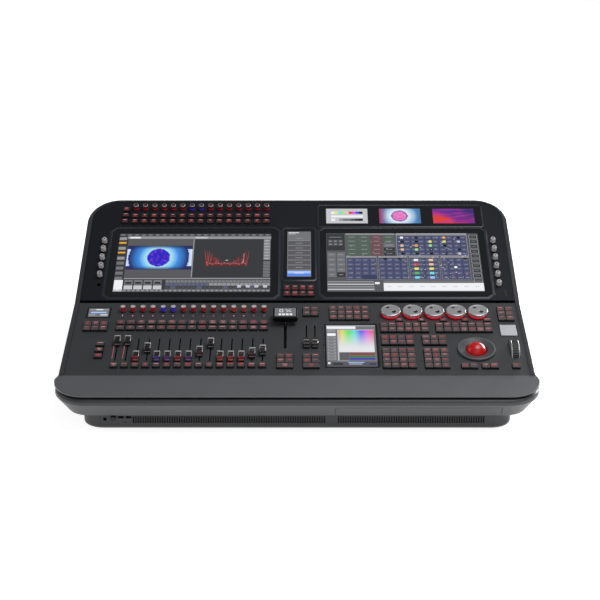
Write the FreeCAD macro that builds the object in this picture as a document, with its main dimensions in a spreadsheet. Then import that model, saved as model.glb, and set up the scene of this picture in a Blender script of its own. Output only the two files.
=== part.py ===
"""Stage lighting control desk: a wedge-shaped console on a recessed plinth.

Millimetres, +Z up, +X to the operator's right, +Y away from the operator. The origin is on the
floor, under the middle of the desk. Two tilted decks meet at a crease: the control deck in front
and the steeper screen deck behind. Everything on a deck is placed in that deck's own axes:
X across, Y up the slope from the crease, Z out of the surface.
"""

import math
import os
import re

import FreeCAD
import Part
import Sketcher

DIMENSIONS = {
    # overall form
    "desk_width": 1082, "desk_depth": 740, "crease_y": 8, "crease_z": 162,
    "front_tilt": 11, "rear_tilt": 20.73, "front_deck": 290, "rear_deck": 378,
    "deck_half_width": 523.5, "gap": 0.5, "panel_thick": 3, "wall": 4,
    # tray with the rounded lip
    "tray_floor": 40, "tray_top": 91, "lip_round": 8, "skirt_run": 28, "skirt_rise": 38,
    "front_corner": 78, "rear_corner": 85,
    # upper walls and rolled rim
    "rim_half_width": 536, "rim_rear": 369.5, "rim_side": 12, "rim_back": 6.5,
    "rim_height": 22, "rim_proud": 1.6, "rim_round": 4,
    # wrist rest
    "rest_half_width": 542, "rest_front": 366, "rest_edge_z": 100, "rest_thick": 4.2,
    "rest_round": 1.8, "recess": 9,
    # plinth
    "plinth_half_width": 482, "plinth_front": 327, "plinth_rear": 330, "plinth_corner": 48,
    "plinth_top": 39.7, "foot_height": 1.2, "sheet": 2.5, "cap_width": 42,
    "vent_pitch": 5.4, "vent_width": 3.2, "vent_height": 17, "vent_low": 13,
    "left_vents": 80, "left_vent_x": -367, "right_vents": 61, "right_vent_x": 91,
    # playback columns
    "column_first": -415, "column_pitch": 24,
    "slot_width": 3, "stem": 1.8, "fader_travel": 75, "fader_top": -154,
    "cap_wide": 14, "cap_long": 26, "cap_high": 14, "cap_low": 2.5,
    "module_wide": 12, "module_over": 32, "module_deep": 24,
    # keys and knobs
    "key_pitch": 19.05, "key_cap": 18.2, "key_rise": 6, "key_drop": 5, "key_clear": 0.7,
    "knob_radius": 6.5, "knob_high": 14, "shaft_radius": 3, "shaft_deep": 9, "bore_play": 0.06,
    # encoder wheels
    "wheel_first": 221.6, "wheel_pitch": 51.75, "wheel_v": -50,
    "wheel_radius": 23.4, "wheel_low": 4.5, "wheel_thick": 9.5,
    # live master with its own display
    "bar_u": -28, "bar_v": -77, "bar_travel": 100, "bar_wide": 58, "bar_long": 43,
    "bar_thick": 14, "bar_low": 11, "bar_slot": 6.6, "bar_stem": 4.6,
    # trackball and level wheel
    "ball_u": 411.5, "ball_v": -194, "ball_radius": 24, "ball_depth": 5.5,
    "ring_outer": 44, "ring_mouth": 27.5, "ring_high": 6,
    "level_u": 499, "level_v": -190, "level_radius": 38, "level_depth": 20, "level_wide": 20,
    # keyboard drawer
    "drawer_left": 84, "drawer_right": 452, "drawer_top": 70, "drawer_play": 1,
    "drawer_deep": 205,
    # display glass
    "glass_thick": 4, "glass_proud": 0.3, "module_under": 16, "glass_corner": 12,
    # rear and front sockets
    "socket_z": 150,
}

doc = FreeCAD.newDocument("ControlDesk")
sheet = doc.addObject("Spreadsheet::Sheet", "Dim")
for row, (alias, number) in enumerate(DIMENSIONS.items(), start=1):
    sheet.set(f"A{row}", alias)
    sheet.set(f"B{row}", str(number))
    sheet.setAlias(f"B{row}", alias)
doc.recompute()


# ------------------------------------------------------------------ helpers

def cells(text):
    """An expression written with bare cell names, as one that reads the sheet."""
    return re.sub(r"[a-z_]{3,}", lambda m: "Dim." + m[0] if m[0] in DIMENSIONS else m[0], str(text))


def value(text):
    """What such an expression comes to."""
    number = sheet.evalExpression(cells(text))
    return float(getattr(number, "Value", number))


def bind(thing, **sizes):
    """Tie properties of an object to expressions of the sheet; x, y, z are its place."""
    for key, text in sizes.items():
        path = f"Placement.Base.{key}" if key in "xyz" else key
        thing.setExpression(path, cells(text))
    return thing


def on_deck(thing, deck):
    """Put an object drawn in a deck's own axes onto that deck."""
    thing.Placement = FreeCAD.Placement(FreeCAD.Vector(0, 0, 0),
                                        FreeCAD.Rotation(FreeCAD.Vector(1, 0, 0), 10))
    bind(thing, y="crease_y", z="crease_z")
    thing.setExpression("Placement.Rotation.Angle", cells(f"{deck}_tilt"))
    return thing


def box(x, y, z, long, wide, high):
    """A block by its middle in X and Y and its underside in Z."""
    item = doc.addObject("Part::Box", "Block")
    bind(item, Length=long, Width=wide, Height=high)
    return bind(item, x=f"{x} - ({long}) / 2", y=f"{y} - ({wide}) / 2", z=z)


def span(x0, x1, y0, y1, z0, z1):
    """A block by its six faces."""
    item = doc.addObject("Part::Box", "Block")
    bind(item, Length=f"{x1} - ({x0})", Width=f"{y1} - ({y0})", Height=f"{z1} - ({z0})")
    return bind(item, x=x0, y=y0, z=z0)


def rod(x, y, z, radius, high, axis=(0, 0, 1)):
    """A round bar from a point along an axis."""
    item = doc.addObject("Part::Cylinder", "Rod")
    turn = FreeCAD.Rotation(FreeCAD.Vector(0, 0, 1), FreeCAD.Vector(*axis))
    item.Placement = FreeCAD.Placement(FreeCAD.Vector(0, 0, 0), turn)
    bind(item, Radius=radius, Height=high)
    return bind(item, x=x, y=y, z=z)


def ball(x, y, z, radius):
    item = doc.addObject("Part::Sphere", "Ball")
    bind(item, Radius=radius)
    return bind(item, x=x, y=y, z=z)


def fuse(*items):
    item = doc.addObject("Part::MultiFuse", "Joined")
    item.Shapes = list(items)
    return item


def group(*items):
    """Separate solids of one kind kept together."""
    item = doc.addObject("Part::Compound", "Group")
    item.Links = list(items)
    return item


def cut(base, *tools):
    item = doc.addObject("Part::Cut", "Cut")
    item.Base = base
    item.Tool = tools[0] if len(tools) == 1 else group(*tools)
    return item


def common(first, second):
    item = doc.addObject("Part::Common", "Shared")
    item.Base = first
    item.Tool = second
    return item


def sketch_on(body, role):
    """An empty sketch on one of a body's own origin planes."""
    plane = [f for f in body.Origin.OriginFeatures if f.Role == role][0]
    item = body.newObject("Sketcher::SketchObject", "Outline")
    item.AttachmentSupport = [(plane, "")]
    item.MapMode = "FlatFace"
    return item


def pin_point(sketch, index, point, x, y):
    """Hold one end of a sketch line at an expression of the sheet in each direction."""
    for kind, text, axis_line in (("DistanceX", x, -2), ("DistanceY", y, -1)):
        number = value(text)
        if abs(number) < 1e-9:
            sketch.addConstraint(Sketcher.Constraint("PointOnObject", index, point, axis_line))
        else:
            k = sketch.addConstraint(Sketcher.Constraint(kind, -1, 1, index, point, number))
            sketch.setExpression(f"Constraints[{k}]", cells(text))


def polygon(sketch, points):
    """A closed outline of straight lines through points given as pairs of expressions."""
    places = [FreeCAD.Vector(value(a), value(b), 0) for a, b in points]
    first = sketch.GeometryCount
    count = len(places)
    for i in range(count):
        sketch.addGeometry(Part.LineSegment(places[i], places[(i + 1) % count]))
    for i in range(count):
        sketch.addConstraint(Sketcher.Constraint("Coincident", first + i, 2, first + (i + 1) % count, 1))
    for i, (a, b) in enumerate(points):
        pin_point(sketch, first + i, 1, a, b)


def rectangle(sketch, x0, x1, y0, y1):
    polygon(sketch, [(x0, y0), (x1, y0), (x1, y1), (x0, y1)])


def rounded_plan(sketch, half, low, high, low_radius, high_radius):
    """A rectangle with rounded corners: half the width, two ends along Y, a radius at each end."""
    w, a, b = value(half), value(low), value(high)
    ra, rb = value(low_radius), value(high_radius)
    v = FreeCAD.Vector
    lines = [(v(-w + ra, a, 0), v(w - ra, a, 0)), (v(w, a + ra, 0), v(w, b - rb, 0)),
             (v(w - rb, b, 0), v(-w + rb, b, 0)), (v(-w, b - rb, 0), v(-w, a + ra, 0))]
    arcs = [(w - ra, a + ra, ra, -90), (w - rb, b - rb, rb, 0), (-w + rb, b - rb, rb, 90),
            (-w + ra, a + ra, ra, 180)]
    for start, end in lines:
        sketch.addGeometry(Part.LineSegment(start, end))
    for x, y, radius, angle in arcs:
        circle = Part.Circle(v(x, y, 0), v(0, 0, 1), radius)
        sketch.addGeometry(Part.ArcOfCircle(circle, math.radians(angle), math.radians(angle + 90)))
    for i in range(4):
        sketch.addConstraint(Sketcher.Constraint("Tangent", i, 2, 4 + i, 1))
        sketch.addConstraint(Sketcher.Constraint("Tangent", 4 + i, 2, (i + 1) % 4, 1))
    for i, kind in enumerate(("Horizontal", "Vertical", "Horizontal", "Vertical")):
        sketch.addConstraint(Sketcher.Constraint(kind, i))
    for i, text in ((4, low_radius), (5, high_radius), (6, high_radius), (7, low_radius)):
        k = sketch.addConstraint(Sketcher.Constraint("Radius", i, value(text)))
        sketch.setExpression(f"Constraints[{k}]", cells(text))
    for kind, line, text in (("DistanceY", 0, low), ("DistanceX", 1, half), ("DistanceY", 2, high),
                             ("DistanceX", 3, f"-({half})")):
        k = sketch.addConstraint(Sketcher.Constraint(kind, -1, 1, line, 1, value(text)))
        sketch.setExpression(f"Constraints[{k}]", cells(text))


def new_body(z="0"):
    return bind(doc.addObject("PartDesign::Body", "Body"), z=z)


def pad(body, sketch, length, both_ways=False):
    item = body.newObject("PartDesign::Pad", "Pad")
    item.Profile = sketch
    item.SideType = "Symmetric" if both_ways else "One side"
    item.setExpression("Length", cells(length))
    body.Tip = item
    doc.recompute()
    return item


def pocket(body, sketch, length=None, upward=True, both_ways=False):
    """Cut a sketch into a body, and check that it removes something."""
    before = body.Shape.Volume
    item = body.newObject("PartDesign::Pocket", "Pocket")
    item.Profile = sketch
    item.SideType = "Symmetric" if both_ways else "One side"
    if length is None:
        item.Type = "ThroughAll"
    else:
        item.setExpression("Length", cells(length))
    item.Reversed = upward
    body.Tip = item
    doc.recompute()
    if not body.Shape.Volume < before - 1:
        raise RuntimeError(f"{item.Name} cuts nothing")
    return item


def lift(sketch, height):
    sketch.setExpression("AttachmentOffset.Base.z", cells(height))


def dress(body, kind, names, **sizes):
    """A fillet or chamfer on named edges or faces of the body's last feature."""
    base = body.Tip
    item = body.newObject(f"PartDesign::{kind}", kind)
    item.Base = (base, names)
    for key, text in sizes.items():
        item.setExpression(key, cells(text))
    body.Tip = item
    doc.recompute()
    return item


def flat_faces(body, height):
    """Names of the level faces of a body at a height."""
    found = []
    for i, face in enumerate(body.Shape.Faces, start=1):
        bounds = face.BoundBox
        if bounds.ZLength < 1e-6 and abs(bounds.ZMin - height) < 1e-6:
            found.append(f"Face{i}")
    return found


def edges_where(body, test):
    """Names of the edges of a body's last feature whose middle point passes a test."""
    found = []
    for i, edge in enumerate(body.Tip.Shape.Edges, start=1):
        first, last = edge.ParameterRange
        if test(edge.valueAt((first + last) / 2), edge):
            found.append(f"Edge{i}")
    return found


def deck_line(offset):
    """The deck's side profile as (y, z) expressions, moved up by an offset, from front to back."""
    up_front = f"({offset}) * cos(front_tilt)"
    up_rear = f"({offset}) * cos(rear_tilt)"
    mid = "(front_tilt + rear_tilt) / 2"
    front = (f"crease_y - front_deck * cos(front_tilt) - ({offset}) * sin(front_tilt)",
             f"crease_z - front_deck * sin(front_tilt) + {up_front}")
    crease = (f"crease_y - ({offset}) * sin({mid}) / cos((rear_tilt - front_tilt) / 2)",
              f"crease_z + ({offset}) * cos({mid}) / cos((rear_tilt - front_tilt) / 2)")
    rear = (f"crease_y + 420 * cos(rear_tilt) - ({offset}) * sin(rear_tilt)",
            f"crease_z + 420 * sin(rear_tilt) + {up_rear}")
    return [front, crease, rear]


parts = {}


def keep(label, item):
    item.Label = label
    parts[label] = item
    return item


# ------------------------------------------------------------------ casing

REST_REAR = "crease_y - front_deck * cos(front_tilt)"


def tray_outline(body, inset):
    plan = sketch_on(body, "XY_Plane")
    rounded_plan(plan, f"desk_width / 2 - ({inset})", f"-desk_depth / 2 + ({inset})",
                 f"desk_depth / 2 - ({inset})", f"front_corner - ({inset})", f"rear_corner - ({inset})")
    return plan


def tray_solid():
    """The tray before it is hollowed: rounded lip on top, skirt sloping in to its floor."""
    body = new_body("tray_floor")
    pad(body, tray_outline(body, "0"), "tray_top - tray_floor")
    top = value("tray_top - tray_floor")
    dress(body, "Fillet", flat_faces(body, top + value("tray_floor")), Radius="lip_round")
    slope = dress(body, "Chamfer", flat_faces(body, value("tray_floor")), Size="skirt_rise")
    slope.ChamferType = "Two distances"
    slope.setExpression("Size", cells("skirt_run"))
    slope.setExpression("Size2", cells("skirt_rise"))
    doc.recompute()
    middle = [f for f in body.Shape.Faces
              if f.BoundBox.ZLength < 1e-6 and f.BoundBox.ZMin < value("tray_floor") + 1]
    if middle[0].BoundBox.XLength < value("desk_width - 2 * skirt_run") - 1:
        slope.FlipDirection = True
        doc.recompute()
    return body


def upper_walls():
    """Thin walls that rise from the tray to the underside of the rolled rim."""
    body = new_body("tray_floor")
    outer = sketch_on(body, "XY_Plane")
    rounded_plan(outer, "rim_half_width", f"{REST_REAR} - 12", "rim_rear", "wall + 1", "rear_corner - 5")
    lift(outer, "tray_top - 14 - tray_floor")
    pad(body, outer, "270")
    inner = sketch_on(body, "XY_Plane")
    rounded_plan(inner, "rim_half_width - wall", f"{REST_REAR} - 12 + wall", "rim_rear - wall", "1",
                 "rear_corner - 5 - wall")
    pocket(body, inner)
    over = sketch_on(body, "YZ_Plane")
    line = deck_line("-rim_height")
    drop = [(a, f"{b} - tray_floor") for a, b in line]
    polygon(over, drop + [("desk_depth", "400"), ("-desk_depth", "400"), ("-desk_depth", drop[0][1])])
    pocket(body, over, both_ways=True)
    return body


def lower_shell():
    solid = tray_solid()
    hollows = []
    for step in range(4):
        low = bind(new_body(), z=f"tray_floor + wall + {step} * skirt_rise / 4")
        pad(low, tray_outline(low, f"skirt_run * {1 - step / 4} + 6"), "skirt_rise / 4")
        hollows.append(low)
    hollow_high = bind(new_body(), z="tray_floor + skirt_rise")
    pad(hollow_high, tray_outline(hollow_high, "14"), "60")
    shell = cut(fuse(cut(solid, *hollows, hollow_high), upper_walls()),
                span("drawer_left", "drawer_right", "-desk_depth", "-desk_depth / 2 + skirt_run + 8",
                     "0", "drawer_top"),
                span("-385", "385", "350", "desk_depth", "104", "196"))
    keep("lower_shell", shell)
    return solid


def rim_trim():
    """Rolled rim round the left side, the back and the right side of the decks."""
    body = new_body()
    outer = sketch_on(body, "XY_Plane")
    rounded_plan(outer, "rim_half_width", "-desk_depth", "rim_rear", "5", "rear_corner - 5")
    pad(body, outer, "400")
    inner = sketch_on(body, "XY_Plane")
    rounded_plan(inner, "rim_half_width - rim_side", "-desk_depth - 20", "rim_rear - rim_back", "1",
                 "rear_corner - 5 - rim_side")
    pocket(body, inner)
    over = sketch_on(body, "YZ_Plane")
    line = deck_line("rim_proud")
    polygon(over, line + [("desk_depth * 2", "500"), (line[0][0], "500")])
    pocket(body, over, both_ways=True)
    under = sketch_on(body, "YZ_Plane")
    line = deck_line("0.3 - rim_height")
    polygon(under, line + [("desk_depth * 2", "-10"), ("-desk_depth * 2", "-10"),
                           ("-desk_depth * 2", line[0][1])])
    pocket(body, under, both_ways=True)
    front = sketch_on(body, "YZ_Plane")
    rectangle(front, "-desk_depth * 2", f"{REST_REAR} + 0.3", "-20", "500")
    pocket(body, front, both_ways=True)
    lip = sketch_on(body, "YZ_Plane")
    rectangle(lip, "-desk_depth * 2", "crease_y - 150", "-20", "tray_top + 0.3")
    pocket(body, lip, both_ways=True)
    half, rear = value("rim_half_width"), value("rim_rear")
    bend = value("rear_corner - 5")

    def on_outer_top(point, edge):
        if abs(edge.tangentAt(sum(edge.ParameterRange) / 2).z) > 0.9:
            return False
        corner = math.hypot(abs(point.x) - (half - bend), point.y - (rear - bend))
        outside = (abs(point.x) > half - 0.01 or point.y > rear - 0.01
                   or (abs(point.x) > half - bend and point.y > rear - bend and corner > bend - 0.01))
        slope = value("front_tilt") if point.y < value("crease_y") else value("rear_tilt")
        deck = value("crease_z") + (point.y - value("crease_y")) * math.tan(math.radians(slope))
        return outside and point.z > deck - 2
    dress(body, "Fillet", edges_where(body, on_outer_top), Radius="rim_round")
    keep("rim_trim", body)


def wrist_rest():
    """Full-width rest in front of the decks, with a recessed foot under its nose."""
    body = new_body()
    plan = sketch_on(body, "XY_Plane")
    rounded_plan(plan, "rest_half_width", "-rest_front", "0", "front_corner - 3", "5")
    pad(body, plan, "130")
    top_rear = "crease_z - front_deck * sin(front_tilt)"
    over = sketch_on(body, "YZ_Plane")
    polygon(over, [("-desk_depth", "rest_edge_z"), ("-rest_front", "rest_edge_z"), (REST_REAR, top_rear),
                   (REST_REAR, "-10"), ("200", "-10"), ("200", "200"), ("-desk_depth", "200")])
    pocket(body, over, both_ways=True)
    under = sketch_on(body, "YZ_Plane")
    rectangle(under, "-desk_depth", "300", "-10", "rest_edge_z - rest_thick")
    pocket(body, under, both_ways=True)
    taper = sketch_on(body, "XY_Plane")
    for side in (-1, 1):
        polygon(taper, [(f"{side} * (rim_half_width + 0.2)", f"{REST_REAR} + 1"),
                        (f"{side} * (rest_half_width + 3)", f"{REST_REAR} + 1"),
                        (f"{side} * (rest_half_width + 3)", f"{REST_REAR} - 24")])
    pocket(body, taper, both_ways=True)

    def on_nose(point, edge):
        return point.y < value(REST_REAR) - 1 and abs(edge.tangentAt(edge.ParameterRange[0]).z) < 0.9
    dress(body, "Fillet", edges_where(body, on_nose), Radius="rest_round")
    foot = new_body()
    plan = sketch_on(foot, "XY_Plane")
    rounded_plan(plan, "rest_half_width - recess - 8", "-rest_front + recess", f"{REST_REAR}",
                 "front_corner - 3 - recess", "2")
    lift(plan, "tray_top + 0.3")
    pad(foot, plan, "rest_edge_z - rest_thick - tray_top + 1")
    keep("wrist_rest", fuse(body, foot))


def plinth():
    """Folded base tray, vented front plate, two moulded corner caps and rubber feet."""
    def ring(inset, z0, high):
        body = new_body()
        plan = sketch_on(body, "XY_Plane")
        rounded_plan(plan, f"plinth_half_width - {inset}", f"-plinth_front + {inset}",
                     f"plinth_rear - {inset}", f"plinth_corner - {inset}", f"plinth_corner - {inset}")
        lift(plan, z0)
        pad(body, plan, high)
        return body
    front_zone = span("-desk_width", "desk_width", "-desk_depth", "-plinth_front + plinth_corner",
                      "foot_height + sheet + 0.2", "60")
    keep("base_plate", cut(ring("0", "foot_height", "plinth_top - foot_height"),
                           ring("sheet", "foot_height + sheet", "60"), front_zone))
    caps = []
    for side in ("-1", "1"):
        wall = cut(ring("0", "foot_height + sheet + 0.4", "plinth_top - foot_height - sheet - 0.4"),
                   ring("3", "0", "60"))
        zone = box(f"{side} * (plinth_half_width - cap_width / 2)", "-plinth_front + plinth_corner / 2 - 0.4",
                   "0", "cap_width", "plinth_corner", "60")
        caps.append(common(wall, zone))
    keep("plinth_corners", group(*caps))

    body = bind(new_body(), y="-plinth_front + 3")
    plate = sketch_on(body, "XZ_Plane")
    edge = "plinth_half_width - cap_width - gap"
    rectangle(plate, f"-({edge})", edge, "foot_height + sheet + 0.4", "plinth_top")
    pad(body, plate, "3")
    for first, count in (("left_vent_x", "left_vents"), ("right_vent_x", "right_vents")):
        slot = sketch_on(body, "XZ_Plane")
        rectangle(slot, first, f"{first} + vent_width", "vent_low", "vent_low + vent_height")
        vent = pocket(body, slot, both_ways=True)
        row = body.newObject("PartDesign::LinearPattern", "VentRow")
        row.Originals = [vent]
        row.Direction = (slot, ["H_Axis"])
        row.setExpression("Length", cells(f"vent_pitch * ({count} - 1)"))
        row.setExpression("Occurrences", cells(count))
        body.Tip = row
        doc.recompute()
    holes = [rod(x, "-plinth_front - 5", z, radius, "20", (0, 1, 0))
             for x, z, radius in (("-429", "22.8", "4.9"), ("-410", "27.7", "3.2"), ("-384", "15.5", "1.6"))]
    ports = [span(f"{x}", f"{x} + 13.4", "-plinth_front - 5", "-plinth_front + 10", "24.6", "30.6")
             for x in ("-399.5", "-382.9")]
    keep("plinth_front", cut(body, *holes, *ports))

    pads = []
    for x in ("-1", "0", "1"):
        for y in ("-plinth_front + 45", "plinth_rear - 45"):
            pads.append(rod(f"{x} * (plinth_half_width - 60)", y, "0", "14", "foot_height"))
    keep("feet", group(*pads))


# ------------------------------------------------------------------ keys, by cluster

# Each cluster: deck, first key's middle (across, along), columns, rows, pitches, cap size.
PITCH = "key_pitch"
CAP = "key_cap"
CLUSTERS = [
    ("front", "-492.9", "-92.3", 3, 2, PITCH, PITCH, CAP, CAP),
    ("front", "-454", "-174", 1, 3, PITCH, "23", CAP, "15"),
    ("front", "column_first", "-87.8", 15, 2, "column_pitch", "21.8", "19.6", "16.4"),
    ("front", "column_first", "-255.6", 15, 1, "column_pitch", "20", "16", "16.2"),
    ("front", "bar_u - 9.5", "-221.6", 2, 2, PITCH, "18.2", CAP, "17.2"),
    ("front", "bar_u", "-258", 1, 1, PITCH, PITCH, "37", "17.2"),
    ("front", "22.4", "-32.1", 2, 2, PITCH, PITCH, CAP, CAP),
    ("front", "22.4", "-221.6", 2, 2, PITCH, "18.2", CAP, "17.2"),
    ("front", "31.9", "-258", 1, 1, PITCH, PITCH, "37", "17.2"),
    ("front", "85.1", "-29.1", 5, 3, PITCH, PITCH, CAP, CAP),
    ("front", "wheel_first + 19.5", "-78", 5, 1, "wheel_pitch", PITCH, "17", "11"),
    ("front", "203.6", "-98.1", 6, 2, PITCH, PITCH, CAP, CAP),
    ("front", "333.3", "-98.1", 7, 2, PITCH, PITCH, CAP, CAP),
    ("front", "203.6", "-149.2", 4, 2, PITCH, PITCH, CAP, CAP),
    ("front", "298.4", "-149.2", 3, 2, PITCH, PITCH, CAP, CAP),
    ("front", "203.6", "-200.6", 4, 4, PITCH, PITCH, CAP, CAP),
    ("front", "298.4", "-200.6", 3, 4, PITCH, PITCH, CAP, CAP),
    ("front", "484.6", "-32.1", 2, 3, PITCH, PITCH, CAP, CAP),
    ("front", "380.2", "-258.4", 2, 1, PITCH, PITCH, CAP, CAP),
    ("front", "426.6", "-258.4", 2, 1, PITCH, PITCH, CAP, CAP),
    ("front", "495", "-258", 1, 1, PITCH, PITCH, CAP, CAP),
    ("rear", "column_first", "318.4", 15, 2, "column_pitch", "21.4", "17.4", "14.6"),
    ("rear", "-440", "344", 1, 3, PITCH, "23", "17.4", "14.6"),
    ("rear", "-24.6", "49.3", 4, 2, PITCH, "21", CAP, CAP),
]


def key_groups():
    for deck, label in (("front", "control_keys"), ("rear", "screen_keys")):
        caps = []
        for place, u, v, columns, rows, pitch_u, pitch_v, wide, long in CLUSTERS:
            if place != deck:
                continue
            for i in range(columns):
                for j in range(rows):
                    caps.append(box(f"{u} + {i} * {pitch_u}", f"{v} - {j} * {pitch_v}", "-key_drop",
                                    wide, long, "key_drop + key_rise"))
        keep(label, on_deck(group(*caps), deck))


def key_openings(deck):
    """One opening round each cluster, so that no web stands between neighbouring caps."""
    openings = []
    for place, u, v, columns, rows, pitch_u, pitch_v, wide, long in CLUSTERS:
        if place != deck:
            continue
        split = pitch_u in ("column_pitch", "wheel_pitch")
        for i in range(columns if split else 1):
            across = "0" if split else f"{columns - 1} * {pitch_u}"
            along = f"{rows - 1} * {pitch_v}"
            start = f"{u} + {i} * {pitch_u}"
            openings.append(box(f"{start} + ({across}) / 2", f"{v} - ({along}) / 2", "-20",
                                f"{across} + {wide} + 2 * key_clear",
                                f"{along} + {long} + 2 * key_clear", "40"))
    return openings


def key_boards():
    """A switch board under each cluster of keys."""
    boards = {"front": [], "rear": []}
    for deck, u, v, columns, rows, pitch_u, pitch_v, wide, long in CLUSTERS:
        if v == "-255.6":
            continue
        across = f"{columns - 1} * {pitch_u}"
        along = f"{rows - 1} * {pitch_v}"
        margin = "0" if pitch_u == "wheel_pitch" or v == "-32.1" else "1"
        boards[deck].append(box(f"{u} + {across} / 2", f"{v} - {along} / 2", "-key_drop - 5.6",
                                f"{across} + {wide} + {margin}", f"{along} + {long} - 1", "1.6"))
    return [on_deck(group(*boards[deck]), deck) for deck in ("front", "rear")]


# ------------------------------------------------------------------ rotary controls

def column(i):
    return f"column_first + {i} * column_pitch"


KNOBS = {
    "front": [(column(i), "-36.5") for i in range(15)],
    "rear": [(column(i), "348") for i in range(15)]
            + [("-484", str(v)) for v in (217.5, 187, 156, 125, 93)]
            + [("490.5", str(v)) for v in (219, 187, 156, 125, 94, 62)],
}
WHEELS = [f"wheel_first + {i} * wheel_pitch" for i in range(5)]


def rotary_controls():
    bodies = []
    for deck, label in (("front", "column_knobs"), ("rear", "screen_knobs")):
        knobs = []
        cans = []
        for u, v in KNOBS[deck]:
            grip = rod(u, v, "1.2", "knob_radius", "knob_high")
            knobs.append(fuse(grip, rod(u, v, "-shaft_deep", "shaft_radius", "shaft_deep + 2")))
            can = box(u, v, "-panel_thick - 8.5", "11.5", "11.5", "8")
            cans.append(cut(can, rod(u, v, "-30", "shaft_radius + bore_play", "60")))
        keep(label, on_deck(group(*knobs), deck))
        bodies.append(on_deck(group(*cans), deck))
    for i, u in enumerate(WHEELS, start=1):
        disc = rod(u, "wheel_v", "wheel_low", "wheel_radius", "wheel_thick")
        skirt = rod(u, "wheel_v", "1", "wheel_radius - 3", "wheel_low")
        shaft = rod(u, "wheel_v", "-panel_thick - 12", "shaft_radius", "20")
        keep(f"encoder_wheel_{i}", on_deck(fuse(disc, skirt, shaft), "front"))
    cans = [cut(box(u, "wheel_v", "-panel_thick - 14.5", "18", "18", "14"),
                rod(u, "wheel_v", "-panel_thick - 13", "shaft_radius + bore_play", "30")) for u in WHEELS]
    bodies.append(on_deck(group(*cans), "front"))
    keep("encoder_bodies", group(*bodies))


# ------------------------------------------------------------------ faders

# How far down its travel each playback fader stands, as a fraction.
FADER_AT = (0.19, 0.19, 1, 0.57, 1, 1, 1, 1, 0.75, 0.32, 1, 1, 1, 0.83, 0.69)


def fader_cap(u, v):
    cap = box(u, v, "cap_low", "cap_wide", "cap_long", "cap_high")
    blade = box(u, v, "-panel_thick - 9", "stem", "5", "panel_thick + 10 + cap_low")
    return fuse(cap, blade)


def fader_track(u, middle, travel, width):
    module = box(u, middle, "-panel_thick - module_deep", "module_wide", f"{travel} + module_over",
                 "module_deep - 1")
    slit = box(u, middle, "-panel_thick - 12", width, f"{travel} + 14", "30")
    return cut(module, slit)


def faders():
    middle = "fader_top - fader_travel / 2"
    tracks = []
    for i, fraction in enumerate(FADER_AT):
        place = f"fader_top - {fraction} * fader_travel"
        keep(f"fader_{i + 1:02d}", on_deck(fader_cap(column(i), place), "front"))
        tracks.append(fader_track(column(i), middle, "fader_travel", "slot_width"))
    for i, u in enumerate(("21.5", "41.3"), start=1):
        keep(f"master_fader_{i}", on_deck(fader_cap(u, "-176"), "front"))
        tracks.append(fader_track(u, "-138.5", "fader_travel", "slot_width"))
    head = box("bar_u", "bar_v", "bar_low", "bar_wide", "bar_long", "bar_thick")
    blade = box("bar_u", "bar_v", "-panel_thick - 9", "bar_stem", "12", "panel_thick + 10 + bar_low")
    keep("live_master", on_deck(fuse(head, blade), "front"))
    tracks.append(fader_track("bar_u", "bar_v - bar_travel / 2", "bar_travel", "bar_slot"))
    keep("fader_tracks", on_deck(group(*tracks), "front"))


def fader_slots():
    slots = [box(column(i), "fader_top - fader_travel / 2", "-20", "slot_width", "fader_travel + 13", "40")
             for i in range(15)]
    slots += [box(u, "-138.5", "-20", "slot_width", "fader_travel + 13", "40") for u in ("21.5", "41.3")]
    slots.append(box("bar_u", "bar_v - bar_travel / 2", "-20", "bar_slot", "bar_travel + 20", "40"))
    return slots


# ------------------------------------------------------------------ trackball and level wheel

def ball_and_level():
    sphere = ball("ball_u", "ball_v", "-ball_depth", "ball_radius")
    keep("trackball", on_deck(group(sphere), "front"))
    rim = rod("ball_u", "ball_v", "0.6", "ring_outer", "ring_high")
    mouth = rod("ball_u", "ball_v", "-5", "ring_mouth", "30")
    bowl = doc.addObject("Part::Cone", "Bowl")
    bind(bowl, Radius1="ring_mouth", Radius2="ring_outer - 4", Height="ring_high - 1.4")
    bind(bowl, x="ball_u", y="ball_v", z="2.2")
    keep("trackball_ring", on_deck(cut(rim, mouth, bowl), "front"))
    cup = rod("ball_u", "ball_v", "-48", "32", "48 - panel_thick - gap")
    cavity = ball("ball_u", "ball_v", "-ball_depth", "ball_radius + 0.6")
    throat = rod("ball_u", "ball_v", "-ball_depth", "ball_radius + 0.6", "30")
    keep("trackball_housing", on_deck(cut(cup, cavity, throat), "front"))

    tread = rod("level_u - level_wide / 2", "level_v", "-level_depth", "level_radius", "level_wide",
                (1, 0, 0))
    pin = rod("level_u - level_wide / 2 - 6", "level_v", "-level_depth", "shaft_radius", "level_wide + 12",
              (1, 0, 0))
    keep("level_wheel", on_deck(fuse(tread, pin), "front"))
    ears = []
    for side in ("-1", "1"):
        ear = box(f"level_u + {side} * (level_wide / 2 + 4)", "level_v", "-level_depth - 12", "5", "16",
                  "level_depth + 12 - panel_thick - 0.4")
        bore = rod("level_u - 40", "level_v", "-level_depth", "shaft_radius + bore_play", "80", (1, 0, 0))
        ears.append(cut(ear, bore))
    return on_deck(group(*ears), "front")


# ------------------------------------------------------------------ displays

# Each display: deck, left, right, near edge, far edge, corner size.
DISPLAYS = {
    "left_touchscreen": ("rear", "-467", "-48", "18", "271.7", "glass_corner"),
    "right_touchscreen": ("rear", "56", "471.8", "20", "271.7", "glass_corner"),
    "centre_display": ("rear", "-34.6", "43", "81", "271.7", "3"),
    "monitor_strip": ("rear", "55", "470", "280.4", "362", "5"),
    "palette_touchscreen": ("front", "63", "187", "-263", "-88.6", "3"),
    "status_display": ("front", "-501", "-444.7", "-63.5", "-20.5", "2"),
    "touch_pad": ("front", "474", "514.5", "-137.6", "-92", "2"),
}


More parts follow.
